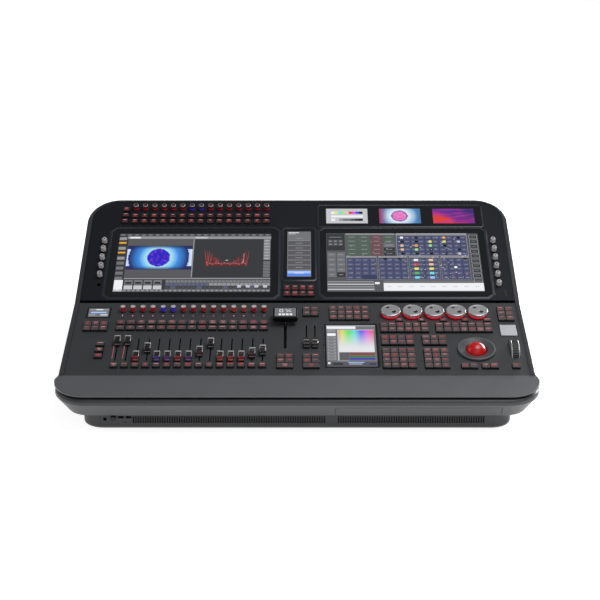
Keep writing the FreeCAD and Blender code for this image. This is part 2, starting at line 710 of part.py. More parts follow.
def displays():
    small = []
    for label, (deck, x0, x1, y0, y1, corner) in DISPLAYS.items():
        body = new_body()
        face = sketch_on(body, "XY_Plane")
        polygon(face, [(f"{x0} + {corner}", y0), (f"{x1} - {corner}", y0), (x1, f"{y0} + {corner}"),
                       (x1, f"{y1} - {corner}"), (f"{x1} - {corner}", y1), (f"{x0} + {corner}", y1),
                       (x0, f"{y1} - {corner}"), (x0, f"{y0} + {corner}")])
        lift(face, "glass_proud - glass_thick")
        pad(body, face, "glass_thick")
        deep = "8" if corner == "2" else "module_under"
        back = span(f"{x0} + 3", f"{x1} - 3", f"{y0} + 3", f"{y1} - 3", f"-{deep}", "-2")
        if corner == "glass_corner":
            back = span(f"{x0} + 13", f"{x1} - 13", f"{y0} + 13", f"{y1} - 13", f"-{deep}", "-2")
        glass = on_deck(fuse(body, back), deck)
        if corner == "2":
            small.append(glass)
        else:
            keep(label, glass)
    keep("small_displays", group(*small))


def display_openings(deck):
    return [span(f"{x0} - gap", f"{x1} + gap", f"{y0} - gap", f"{y1} + gap", "-20", "20")
            for place, x0, x1, y0, y1, _ in DISPLAYS.values() if place == deck]


# ------------------------------------------------------------------ deck panels

def control_panel():
    plate = span("-deck_half_width", "deck_half_width", "-front_deck + gap", "-1.2", "-panel_thick", "0")
    holes = [rod(u, v, "-20", "shaft_radius + 0.6", "40") for u, v in KNOBS["front"]]
    holes += [rod(u, "wheel_v", "-20", "shaft_radius + 0.6", "40") for u in WHEELS]
    holes.append(rod("ball_u", "ball_v", "-20", "ball_radius + 0.8", "40"))
    holes.append(box("level_u", "level_v", "-20", "level_wide + 1.6", "70", "40"))
    tools = key_openings("front") + fader_slots() + display_openings("front") + holes
    keep("control_panel", on_deck(cut(plate, *tools), "front"))


def screen_panel():
    body = new_body()
    plan = sketch_on(body, "XY_Plane")
    rounded_plan(plan, "deck_half_width", "9", "rear_deck - gap", "1", "rear_corner - 5 - rim_side + 3")
    lift(plan, "-panel_thick")
    pad(body, plan, "panel_thick")
    holes = [rod(u, v, "-20", "shaft_radius + 0.6", "40") for u, v in KNOBS["rear"]]
    holes.append(rod("-484", "64", "-20", "8", "40"))
    holes.append(box("504.5", "34", "-20", "5.5", "24", "40"))
    tools = key_openings("rear") + display_openings("rear") + holes
    keep("screen_panel", on_deck(cut(body, *tools), "rear"))


# ------------------------------------------------------------------ keyboard drawer

def drawer(tray):
    left, right = "drawer_left + drawer_play", "drawer_right - drawer_play"
    back = "-desk_depth / 2 + skirt_run + 7"
    zone = span(left, right, "-desk_depth", back, "0", "drawer_top - drawer_play")
    face = common(tray, zone)
    low = "tray_floor + wall + 3"
    tub = span(f"{left} + 8", f"{right} - 8", f"{back} - 1", f"{back} + drawer_deep", low, "drawer_top - 4")
    inside = span(f"{left} + 11", f"{right} - 11", f"{back} + 2", f"{back} + drawer_deep - 3",
                  f"{low} + 2.5", "90")
    keep("keyboard_drawer", cut(fuse(face, tub), inside))
    floor = f"{low} + 2.8"
    x0, y0 = f"{left} + 14", f"{back} + 12"
    case = span(x0, f"{right} - 14", y0, f"{y0} + 128", floor, f"{floor} + 5")
    caps = []
    for j in range(6):
        for i in range(17):
            caps.append(span(f"{x0} + 6 + {i} * 19.05", f"{x0} + 23 + {i} * 19.05",
                             f"{y0} + 6 + {j} * 19.6", f"{y0} + 22.5 + {j} * 19.6",
                             f"{floor} + 5", f"{floor} + 9"))
    keep("keyboard", fuse(case, *caps))
    rails = [span(f"{x}", f"{x} + 6", f"{back} + 4", f"{back} + drawer_deep + 20", low, f"{low} + 12")
             for x in ("drawer_left + 1", "drawer_right - 7")]
    return group(*rails)


# ------------------------------------------------------------------ inside the casing

def internals(ears, rails):
    ledges = []
    for deck, v0, v1 in (("front", "-front_deck + 8", "-18"), ("rear", "24", "290")):
        for side in (-1, 1):
            ledge = box(f"{side} * (deck_half_width - 3.5)", f"({v0} + {v1}) / 2", "-panel_thick - 24.3", "6",
                        f"{v1} - ({v0})", "24")
            ledges.append(on_deck(group(ledge), deck))
    beam = span("-522", "522", "crease_y - 3", "crease_y + 15", "crease_z - 34", "crease_z - 5.5")
    posts = [span(f"{x} - 5", f"{x} + 5", "crease_y - 3", "crease_y + 15", "tray_floor + wall",
                  "crease_z - 20")
             for x in ("-500", "-60", "60", "500")]
    keep("internal_frame", group(fuse(beam, *posts), *ledges, ears, rails))

    board = span("-120", "210", "130", "330", "58", "60")
    chips = [span(x, f"{x} + 46", y, f"{y} + 46", "60", "72") for x in ("-90", "60") for y in ("160", "250")]
    stands = [rod(x, y, "tray_floor + wall", "4", "58 - tray_floor - wall")
              for x in ("-112", "202") for y in ("138", "322")]
    keep("main_board", fuse(board, *chips, *stands))
    keep("key_boards", group(*key_boards()))
    keep("power_supply", span("-440", "-230", "190", "310", "tray_floor + wall + 0.3", "94"))
    fans = []
    for x in ("-216", "300"):
        frame = span(x, f"{x} + 80", "300", "325", "tray_floor + wall + 0.3", "124.3")
        bore = rod(f"{x} + 40", "290", "84.3", "37", "60", (0, 1, 0))
        hub = rod(f"{x} + 40", "302", "84.3", "15", "20", (0, 1, 0))
        blades = [box(f"{x} + 40", "312", "84.3 - 1.5", "76", "14", "3"),
                  box(f"{x} + 40", "312", "84.3 - 38", "3", "14", "76")]
        fans.append(fuse(cut(frame, bore), hub, *blades))
    keep("cooling_fans", group(*fans))


# ------------------------------------------------------------------ sockets, rear panel, switch

NETWORK_X = ("-60", "-35", "-10", "15")
DMX_X = ("90", "130", "170", "210", "250", "290")


def rear_panel():
    """Three connector plates side by side: mains, network and control outputs."""
    plates = [span(x0, x1, "362", "365", "98", "202") for x0, x1 in
              (("-390", "-110.3"), ("-109.7", "59.7"), ("60.3", "390"))]
    tools = [box(x, "363", "socket_z - 7.5", "17", "20", "15") for x in NETWORK_X]
    tools += [rod(x, "350", "socket_z", "11.8", "40", (0, 1, 0)) for x in DMX_X]
    tools.append(box("-340", "363", "socket_z - 12.5", "33", "20", "25"))
    tools.append(box("-295", "363", "socket_z - 11.6", "14", "20", "23.2"))
    keep("rear_panel", group(*[cut(plate, *tools) for plate in plates]))


def sockets():
    """Sockets stand in the holes of the rear panel and of the plinth's front plate."""
    items = []
    for x in NETWORK_X:
        block = span(f"{x} - 8", f"{x} + 8", "345", "367", "socket_z - 7", "socket_z + 7")
        items.append(cut(block, span(f"{x} - 6", f"{x} + 6", "353", "370", "socket_z - 4.5", "socket_z + 4")))
    for x in DMX_X:
        flange = box(x, "366.1", "socket_z - 15.5", "26", "1.8", "31")
        items.append(fuse(rod(x, "345", "socket_z", "11.5", "23", (0, 1, 0)), flange))
    inlet = fuse(span("-356", "-324", "340", "366", "socket_z - 12", "socket_z + 12"),
                 span("-364", "-316", "365.3", "367", "socket_z - 14", "socket_z + 14"))
    items.append(cut(inlet, span("-352", "-328", "350", "370", "socket_z - 8", "socket_z + 8")))
    jack = fuse(rod("-429", "-plinth_front - 0.5", "22.8", "4.4", "6", (0, 1, 0)),
                span("-436", "-422", "-plinth_front + 4", "-plinth_front + 26", "16", "31"))
    items.append(cut(jack, rod("-429", "-plinth_front - 5", "22.8", "3.2", "25", (0, 1, 0))))
    pot = span("-416.5", "-403.5", "-plinth_front + 4", "-plinth_front + 14", "21", "34")
    items.append(cut(pot, rod("-410", "-plinth_front - 5", "27.7", "2 + bore_play", "30", (0, 1, 0))))
    for x in ("-399.5", "-382.9"):
        block = span(f"{x} + 0.3", f"{x} + 13.1", "-plinth_front", "-plinth_front + 18", "24.9", "30.3")
        items.append(cut(block, span(f"{x} + 0.7", f"{x} + 12.7", "-plinth_front - 3", "-plinth_front + 15",
                                     "25.3", "29.9")))
    lamp = cut(rod("-484", "64", "-18", "7.6", "18.4"), rod("-484", "64", "-13", "5.5", "20"))
    slot = box("504.5", "34", "-9", "5", "23", "9.2")
    items.append(on_deck(group(lamp, slot), "rear"))
    keep("sockets", group(*items))
    rocker = box("0", "0", "-10", "12", "10", "20")
    barrel = rod("-5.5", "0", "0", "2.5", "11", (1, 0, 0))
    tilted = group(fuse(rocker, barrel))
    tilted.Placement = FreeCAD.Placement(FreeCAD.Vector(0, 0, 0),
                                         FreeCAD.Rotation(FreeCAD.Vector(1, 0, 0), -8))
    bind(tilted, x="-295", y="364", z="socket_z")
    keep("power_switch", tilted)
    knob = rod("-410", "-plinth_front - 9", "27.7", "5.8", "8.4", (0, 1, 0))
    stem = rod("-410", "-plinth_front - 2", "27.7", "2", "14", (0, 1, 0))
    keep("volume_knob", fuse(knob, stem))


def panel_screws():
    """Ten screws along the upper and lower edges of the rear panel."""
    screws = []
    for x in ("-380", "-190", "0", "190", "380"):
        for z in ("108.5", "191.5"):
            screws.append(rod(x, "365.3", z, "3", "1.6", (0, 1, 0)))
    keep("panel_screws", group(*screws))


# ------------------------------------------------------------------ build, check, write

tray = lower_shell()
rim_trim()
wrist_rest()
plinth()
control_panel()
screen_panel()
key_groups()
rotary_controls()
faders()
ears = ball_and_level()
displays()
rails = drawer(tray)
internals(ears, rails)
rear_panel()
sockets()
panel_screws()
doc.recompute()

for item in doc.Objects:
    if "Invalid" in item.State or "Error" in item.State:
        raise RuntimeError(f"{item.Name} ({item.Label}) is {item.State}")
for label, item in parts.items():
    if item.Shape.isNull() or not item.Shape.isValid() or item.Shape.Volume <= 0:
        raise RuntimeError(f"{label} has no valid shape")

os.makedirs("parts", exist_ok=True)
for label, item in parts.items():
    item.Shape.exportStep(f"parts/{label}.step")
print(len(parts), "parts")
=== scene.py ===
"""Looks of a stage lighting control desk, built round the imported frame.

Lengths are metres, in the desk's own frame. Detail on a deck is drawn in that deck's axes:
u across, v up the slope from the crease, n out of the surface. Small sizes are written in mm.
"""

import math
import random

import bpy
from mathutils import Matrix, Vector, noise


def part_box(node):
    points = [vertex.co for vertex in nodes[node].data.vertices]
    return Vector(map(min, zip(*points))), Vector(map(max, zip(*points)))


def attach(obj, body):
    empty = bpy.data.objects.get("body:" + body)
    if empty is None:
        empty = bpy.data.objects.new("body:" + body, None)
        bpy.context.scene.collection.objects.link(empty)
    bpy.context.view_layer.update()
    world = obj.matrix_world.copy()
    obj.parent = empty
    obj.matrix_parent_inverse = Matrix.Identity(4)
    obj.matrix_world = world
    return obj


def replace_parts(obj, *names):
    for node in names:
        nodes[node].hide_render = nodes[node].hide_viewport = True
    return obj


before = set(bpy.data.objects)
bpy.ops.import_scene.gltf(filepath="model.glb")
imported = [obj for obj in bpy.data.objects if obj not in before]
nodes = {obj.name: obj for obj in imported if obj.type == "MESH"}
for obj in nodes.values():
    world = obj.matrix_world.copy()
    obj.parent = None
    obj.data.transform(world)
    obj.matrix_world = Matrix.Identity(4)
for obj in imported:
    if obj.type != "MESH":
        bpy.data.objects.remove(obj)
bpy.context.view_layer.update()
MM = 0.001

CREASE = Vector((0, 0.008, 0.162))
TILT = {"front": math.radians(11), "rear": math.radians(20.73)}
DECK = {name: Matrix.Translation(CREASE) @ Matrix.Rotation(tilt, 4, "X") for name, tilt in TILT.items()}
DECK["world"] = Matrix.Identity(4)


# ---- materials

def new_material(name):
    item = bpy.data.materials.new(name)
    item.use_nodes = True
    tree = item.node_tree
    return item, tree, tree.nodes["Principled BSDF"]


def settle(shader, **values):
    """Sets a shader's sockets by name."""
    for name, value in values.items():
        shader.inputs[name.replace("_", " ")].default_value = value


def cloud(tree, scale, detail=2.0):
    """Noise over the object's own coordinates."""
    place = tree.nodes.new("ShaderNodeTexCoord")
    node = tree.nodes.new("ShaderNodeTexNoise")
    settle(node, Scale=scale, Detail=detail)
    tree.links.new(place.outputs["Object"], node.inputs["Vector"])
    return node.outputs["Fac"]


def colour_mix(tree, factor, first, second):
    node = tree.nodes.new("ShaderNodeMix")
    node.data_type = "RGBA"
    settle(node, A=first + [1], B=second + [1])
    tree.links.new(factor, node.inputs["Factor"])
    return node.outputs["Result"]


def painted(name, colour, rough, grain=1500, bump=0.1, spread=0.08, metallic=0.0, coat=0.0,
            sheen=0.35):
    """Powder coat or moulded plastic: fine grain, slow drift in tone, rougher and smoother patches."""
    item, tree, shader = new_material(name)
    links = tree.links
    fine = cloud(tree, grain, 3.0)
    broad = cloud(tree, 7.0, 4.0)
    blend = tree.nodes.new("ShaderNodeMath")
    blend.operation = "MULTIPLY_ADD"
    links.new(fine, blend.inputs[0])
    blend.inputs[1].default_value = 0.5
    links.new(broad, blend.inputs[2])
    tone = colour_mix(tree, blend.outputs[0], [c * (1 - spread) for c in colour],
                      [min(1, c * (1 + spread)) for c in colour])
    links.new(tone, shader.inputs["Base Color"])
    patch = tree.nodes.new("ShaderNodeMapRange")
    settle(patch, To_Min=rough - 0.06, To_Max=rough + 0.06)
    links.new(broad, patch.inputs["Value"])
    links.new(patch.outputs["Result"], shader.inputs["Roughness"])
    relief = tree.nodes.new("ShaderNodeBump")
    settle(relief, Strength=bump, Distance=0.0002)
    links.new(fine, relief.inputs["Height"])
    links.new(relief.outputs["Normal"], shader.inputs["Normal"])
    settle(shader, Metallic=metallic, Specular_IOR_Level=sheen, Coat_Weight=coat)
    return item


def turned(name, colour, rough):
    """Machined metal with a very fine grain."""
    return painted(name, colour, rough, grain=2600.0, bump=0.05, spread=0.05, metallic=0.85)


def lit(name, colour, strength=1.0, rough=0.2):
    """A surface that gives its own even light, with the gloss of what covers it."""
    item, _, shader = new_material(name)
    settle(shader, Base_Color=[c * 0.02 for c in colour] + [1], Roughness=rough,
           Emission_Color=list(colour) + [1], Emission_Strength=strength, Specular_IOR_Level=0.25)
    return item


def translucent(name, colour, glow, rough=0.22, coat=0.6):
    """Tinted clear plastic with a lamp behind it, cloudy in colour and in light."""
    item, tree, shader = new_material(name)
    tint = colour_mix(tree, cloud(tree, 180.0), [c * 0.45 for c in colour],
                      [min(1, c * 1.25) for c in colour])
    tree.links.new(tint, shader.inputs["Base Color"])
    tree.links.new(tint, shader.inputs["Emission Color"])
    settle(shader, Emission_Strength=glow, Roughness=rough, Coat_Weight=coat, Coat_Roughness=0.08)
    return item


def from_colours(name):
    """Light whose colour is stored at the corners of the mesh."""
    item, tree, shader = new_material(name)
    stored = tree.nodes.new("ShaderNodeAttribute")
    stored.attribute_name = "shade"
    tree.links.new(stored.outputs["Color"], shader.inputs["Emission Color"])
    settle(shader, Base_Color=(0.01, 0.01, 0.01, 1), Roughness=0.15, Emission_Strength=0.95)
    return item


CASE = painted("case_paint", (0.046, 0.048, 0.051), 0.40, grain=1100)
REST = painted("rest_paint", (0.098, 0.101, 0.107), 0.42, grain=1100)
RIM = painted("rim_paint", (0.040, 0.042, 0.046), 0.30, grain=1100, bump=0.08)
FRONT_PANEL = painted("control_deck_paint", (0.037, 0.039, 0.043), 0.5, bump=0.16)
REAR_PANEL = painted("screen_deck_paint", (0.006, 0.0078, 0.0112), 0.55, bump=0.16, sheen=0.22)
PLINTH = painted("plinth_paint", (0.042, 0.043, 0.046), 0.5, grain=1200, bump=0.12)
BLACK = painted("black_moulding", (0.010, 0.010, 0.011), 0.45, grain=1800, bump=0.15)
# painted shadow: a near-black finish put on holes, gaps and slots where only shade would be seen
SHADOW = painted("painted_recess_shadow", (0.004, 0.004, 0.0045), 0.7, grain=900, bump=0.05)
GLOSS = painted("cover_glass", (0.006, 0.007, 0.009), 0.12, grain=300, bump=0.004, spread=0.2, coat=0.3)
BEZEL = painted("screen_frame", (0.018, 0.022, 0.030), 0.35, bump=0.08)
STEEL = painted("folded_sheet", (0.16, 0.16, 0.165), 0.45, grain=800, metallic=0.7)
BRIGHT = turned("zinc_steel", (0.55, 0.55, 0.57), 0.3)
SILVER = turned("anodised_wheel", (0.62, 0.62, 0.63), 0.36)
BOARD = painted("circuit_board", (0.01, 0.09, 0.04), 0.45, grain=700, bump=0.2)
RUBBER = painted("foot_rubber", (0.012, 0.012, 0.012), 0.8, grain=1400, bump=0.3)
KEY = painted("key_cap", (0.070, 0.060, 0.064), 0.42, grain=2400, bump=0.12)
KEY_REAR = painted("key_cap_rear", (0.028, 0.022, 0.024), 0.42, grain=2400, bump=0.12)
# painted shade: the sides of the keys, much darker than their tops, where shadow falls
KEY_SIDE_SHADE = painted("key_side_shade", (0.012, 0.009, 0.010), 0.5, grain=2400)
PALE = painted("pale_cap", (0.42, 0.40, 0.41), 0.35, grain=1600, bump=0.06)
RIM_GREY = painted("knob_rim", (0.26, 0.25, 0.26), 0.3, grain=1600, bump=0.05)
PAD_GREY = painted("pad_surface", (0.46, 0.47, 0.50), 0.4, grain=1600, bump=0.05)
MARK = lit("key_mark", (0.95, 0.34, 0.36), 0.8)
MARK_RED = lit("key_mark_red", (0.85, 0.05, 0.07), 0.8)
MARK_DIM = lit("key_mark_dim", (0.60, 0.16, 0.18), 0.7)
LEAK = lit("key_leak", (0.55, 0.02, 0.03), 0.5, rough=0.5)
RED_BODY = translucent("red_lens", (0.24, 0.008, 0.012), 0.40)
BLUE_BODY = translucent("blue_lens", (0.035, 0.018, 0.30), 0.6)
ORANGE_BODY = translucent("amber_lens", (0.26, 0.026, 0.015), 0.5)
CAP_RED = translucent("red_cap", (0.15, 0.008, 0.012), 0.45)
CAP_BLUE = translucent("blue_cap", (0.030, 0.018, 0.13), 0.6)
CAP_VIOLET = translucent("violet_cap", (0.055, 0.013, 0.09), 0.55)
CAP_AMBER = translucent("amber_cap", (0.17, 0.018, 0.012), 0.5)
DARK_BODY = translucent("dark_lens", (0.035, 0.006, 0.008), 0.3)
SMOKE_BODY = translucent("smoke_lens", (0.012, 0.009, 0.010), 0.15)
WHEEL_GLOW = lit("wheel_glow", (0.72, 0.012, 0.035), 0.85, rough=0.3)
LINE = lit("cap_line", (0.55, 0.50, 0.50), 0.35)
BALL = translucent("ball_resin", (0.38, 0.002, 0.003), 0.40, rough=0.32, coat=0.15)
HEAD = painted("master_head", (0.003, 0.003, 0.0035), 0.55, grain=1800, sheen=0.15)
RING_DARK = painted("dish_moulding", (0.055, 0.060, 0.065), 0.34, bump=0.05)
RING_EDGE = painted("dish_edge", (0.085, 0.090, 0.095), 0.35, bump=0.08)
SCALE_INK = painted("scale_ink", (0.20, 0.18, 0.18), 0.6, bump=0.02)


# ---- mesh building

def new_object(name, data):
    item = bpy.data.objects.new(name, data)
    bpy.context.scene.collection.objects.link(item)
    return item


class Shape:
    """Collects faces in one deck's axes, each with its material, and makes one piece of them."""

    def __init__(self, deck="front"):
        self.deck = deck
        self.points = []
        self.faces = []
        self.slots = []
        self.materials = []

    def slot(self, material):
        if material not in self.materials:
            self.materials.append(material)
        return self.materials.index(material)

    def ring(self, places):
        first = len(self.points)
        self.points.extend(places)
        return list(range(first, len(self.points)))

    def face(self, corners, material):
        self.faces.append(tuple(corners))
        self.slots.append(self.slot(material))

    def bridge(self, low, high, material):
        count = len(low)
        for i in range(count):
            j = (i + 1) % count
            self.face((low[i], low[j], high[j], high[i]), material)

    def stack(self, rings, materials, floor=True, roof=True):
        """Skins a pile of equal rings, closed below and above."""
        made = [self.ring(r) for r in rings]
        for i in range(len(made) - 1):
            self.bridge(made[i], made[i + 1], materials[min(i, len(materials) - 1)])
        if floor:
            self.face(reversed(made[0]), materials[0])
        if roof:
            self.face(made[-1], materials[-1])
        return made

    def tile(self, u0, u1, v0, v1, n, material):
        self.face(self.ring([(u0, v0, n), (u1, v0, n), (u1, v1, n), (u0, v1, n)]), material)

    def bar(self, u, v, wide, long, n, material):
        """A flat bar round its middle, its size in mm."""
        self.tile(u - wide * MM / 2, u + wide * MM / 2, v - long * MM / 2, v + long * MM / 2, n, material)

    def lathe(self, u, v, profile, materials, steps=32, floor=True, roof=True):
        """Turns a profile of (radius, n) round the deck's normal."""
        rings = [[(p, q, n) for p, q in circle(r, steps, u, v)] for r, n in profile]
        return self.stack(rings, materials, floor, roof)

    def block(self, u0, u1, v0, v1, n0, n1, material, corner=0.8 * MM, edge=0.4 * MM):
        """A block with rounded corners and a softened top edge."""
        box = (u0, u1, v0, v1)
        self.stack([rounded(box, 0, corner, n0), rounded(box, 0, corner, n1 - edge),
                    rounded(box, edge, max(corner - edge, 0.2 * edge), n1)], [material])

    def piece(self, name, body, smooth=35):
        mesh = bpy.data.meshes.new(name)
        matrix = DECK[self.deck]
        mesh.from_pydata([matrix @ Vector(p) for p in self.points], [], self.faces)
        for material in self.materials:
            mesh.materials.append(material)
        mesh.polygons.foreach_set("material_index", self.slots)
        mesh.polygons.foreach_set("use_smooth", [True] * len(self.faces))
        mesh.set_sharp_from_angle(angle=math.radians(smooth))
        mesh.validate()
        mesh.update()
        item = new_object(name, mesh)
        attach(item, body)
        return item


def circle(radius, steps, u, v):
    """Points round a centre."""
    turns = [2 * math.pi * k / steps for k in range(steps)]
    return [(u + radius * math.cos(a), v + radius * math.sin(a)) for a in turns]


def mm(profile):
    return [(r * MM, n * MM) for r, n in profile]


def arc(u, v, radius, start, steps, n):
    """A quarter circle from a start angle in degrees."""
    turns = [math.radians(start + 90 * k / steps) for k in range(steps + 1)]
    return [(u + radius * math.cos(a), v + radius * math.sin(a), n) for a in turns]


def rounded(box, inset, radius, n):
    """A rectangle u0, u1, v0, v1 moved in by inset, with round corners, counter-clockwise from above."""
    u0, u1, v0, v1 = box[0] + inset, box[1] - inset, box[2] + inset, box[3] - inset
    radius = min(radius, (u1 - u0) / 2 - 1e-6, (v1 - v0) / 2 - 1e-6)
    left, right, near, far = u0 + radius, u1 - radius, v0 + radius, v1 - radius
    return (arc(right, far, radius, 0, 3, n) + arc(left, far, radius, 90, 3, n)
            + arc(left, near, radius, 180, 3, n) + arc(right, near, radius, 270, 3, n))


def middle(box):
    return [(low + high) / 2 for low, high in zip(*box)]


def islands(node, deck="front"):
    """The box of each separate solid of a CAD node, in a deck's axes, sorted by place."""
    mesh = nodes[node].data
    parent = list(range(len(mesh.vertices)))

    def root(i):
        while parent[i] != i:
            parent[i] = parent[parent[i]]
            i = parent[i]
        return i

    inverse = DECK[deck].inverted()
    local = [inverse @ v.co for v in mesh.vertices]
    seen = {}
    for i, place in enumerate(local):
        key = tuple(round(c, 6) for c in place)
        parent[root(i)] = root(seen.setdefault(key, i))
    for edge in mesh.edges:
        a, b = edge.vertices
        parent[root(a)] = root(b)
    groups = {}
    for i, place in enumerate(local):
        groups.setdefault(root(i), []).append(place)
    boxes = [([min(c) for c in zip(*places)], [max(c) for c in zip(*places)]) for places in groups.values()]
    return sorted(boxes, key=lambda b: (round(b[0][1], 4), round(b[0][0], 4)))


def dress(material, *names):
    """Gives CAD nodes one material."""
    for name in names:
        slots = nodes[name].material_slots
        if not slots:
            nodes[name].data.materials.append(material)
        for slot in slots:
            slot.material = material


dress(CASE, "lower_shell", "keyboard_drawer")
dress(RIM, "rim_trim")
dress(FRONT_PANEL, "control_panel")
dress(REAR_PANEL, "screen_panel")
dress(PLINTH, "plinth_front", "plinth_corners")
dress(STEEL, "base_plate", "rear_panel", "encoder_bodies", "power_supply", "internal_frame")
dress(BLACK, "fader_tracks", "cooling_fans", "sockets", "trackball_housing", "keyboard", "power_switch")
dress(GLOSS, "left_touchscreen", "right_touchscreen", "centre_display", "monitor_strip",
      "palette_touchscreen", "small_displays")
dress(BOARD, "key_boards", "main_board")
dress(RUBBER, "feet")
dress(BRIGHT, "panel_screws")


# ---- keys

def key_cap(shape, box, marks, cap):
    """A dished cap whose sides are painted near black as shade, with lit marks on top and light leaking
    round its foot.
    """
    (u0, v0, n0), (u1, v1, n1) = box
    # inset, corner radius and height under the top of each ring
    rings = [(0, 1.2, (n1 - n0) / MM), (0, 1.2, 2.2), (0.25, 1.2, 0.8), (0.7, 1.1, 0), (2.6, 1, 0.35)]
    # the sides take the painted shade, the top rings the cap's own colour
    shape.stack([rounded((u0, u1, v0, v1), inset * MM, radius * MM, n1 - under * MM)
                 for inset, radius, under in rings], [KEY_SIDE_SHADE, KEY_SIDE_SHADE, cap, cap, cap])
    top = n1 - 0.25 * MM
    for across, along, wide, long, material in marks:
        shape.bar((u0 + u1) / 2 + across * MM, v0 + along * (v1 - v0), wide, long, top, material)


def key_marks(draw, wide):
    """One or two short lit bars, in the pattern of a legend without any letters."""
    bright = draw.choice((MARK, MARK, MARK_DIM, MARK_RED))
    size = min(wide / MM - 4, draw.uniform(7.5, 12.5))
    marks = [(0, 0.68, size, 1.8, bright)]
    if draw.random() < 0.55:
        marks.append((draw.uniform(-1, 1), 0.36, size * draw.uniform(0.5, 0.95), 1.5,
                      draw.choice((MARK_RED, MARK_DIM, bright))))
    return marks


def make_keys():
    draw = random.Random(7)
    for node, deck in (("control_keys", "front"), ("screen_keys", "rear")):
        shape = Shape(deck)
        for box in islands(node, deck):
            wide = box[1][0] - box[0][0]
            marks = key_marks(draw, wide)
            if deck == "rear":
                marks = [(m[0], m[1], m[2] * 0.8, m[3], MARK_RED if k % 2 else MARK)
                         for k, m in enumerate(marks)] + [(0, 0.16, wide / MM - 5, 1.4, LEAK)]
            key_cap(shape, box, marks, KEY if deck == "front" else KEY_REAR)
        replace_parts(shape.piece(f"{node}_caps", node), node)


make_keys()


# ---- rotary knobs

def shafted(shape, box, profile, materials):
    """A knob turned to fit its CAD solid, on its shaft."""
    u, v, _ = middle(box)
    shape.lathe(u, v, [(3 * MM, box[0][2]), (3 * MM, (profile[0][1] + 0.1) * MM)], [BRIGHT], 16)
    shape.lathe(u, v, mm(profile), materials, 28)


def make_knobs():
    boxes = sorted(islands("column_knobs"), key=lambda b: b[0][0])
    shape = Shape()
    for i, box in enumerate(boxes):
        body = BLUE_BODY if i in (4, 5) else ORANGE_BODY if i in (11, 12) else RED_BODY
        profile = [(6.2, 1.2), (6.5, 1.6), (6.5, 3.0), (6.0, 3.4), (6.0, 10.2), (6.3, 10.8), (6.3, 13.9),
                   (5.7, 15.0), (4.6, 15.2), (4.2, 14.8)]
        shafted(shape, box, profile, [BLACK] * 3 + [body] * 4 + [PALE])
    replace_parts(shape.piece("column_knob_caps", "column_knobs"), "column_knobs")

    shape = Shape("rear")
    # the row of playback knobs lies above this line, and the knobs at the sides below it
    line = 0.3
    columns = sorted((b for b in islands("screen_knobs", "rear") if b[0][1] > line), key=lambda b: b[0][0])
    sides = [b for b in islands("screen_knobs", "rear") if b[0][1] <= line]
    for i, box in enumerate(columns):
        body = BLUE_BODY if i in (6, 7) else RED_BODY
        profile = [(6.2, 1.2), (6.5, 1.6), (6.4, 7.0), (6.4, 12.6), (6.2, 14.6), (5.8, 15.2), (5.0, 15.2),
                   (4.4, 13.0), (2.4, 13.0)]
        shafted(shape, box, profile, [BLACK, body, DARK_BODY] + [RIM_GREY] * 3 + [DARK_BODY] * 2 + [body])
    for box in sides:
        profile = [(6.2, 1.2), (6.5, 1.6), (6.5, 4.0), (6.1, 4.4), (6.1, 13.4), (5.3, 15.0), (2.6, 15.2),
                   (2.2, 14.5)]
        shafted(shape, box, profile, [BLACK] * 2 + [PALE] * 5 + [BLACK])
    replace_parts(shape.piece("screen_knob_caps", "screen_knobs"), "screen_knobs")


make_knobs()


# ---- faders

FADER_BODIES = (SMOKE_BODY, SMOKE_BODY, CAP_RED, SMOKE_BODY, CAP_BLUE, CAP_VIOLET, CAP_RED, CAP_VIOLET,
                DARK_BODY, SMOKE_BODY, CAP_AMBER, CAP_AMBER, CAP_RED, DARK_BODY, SMOKE_BODY)


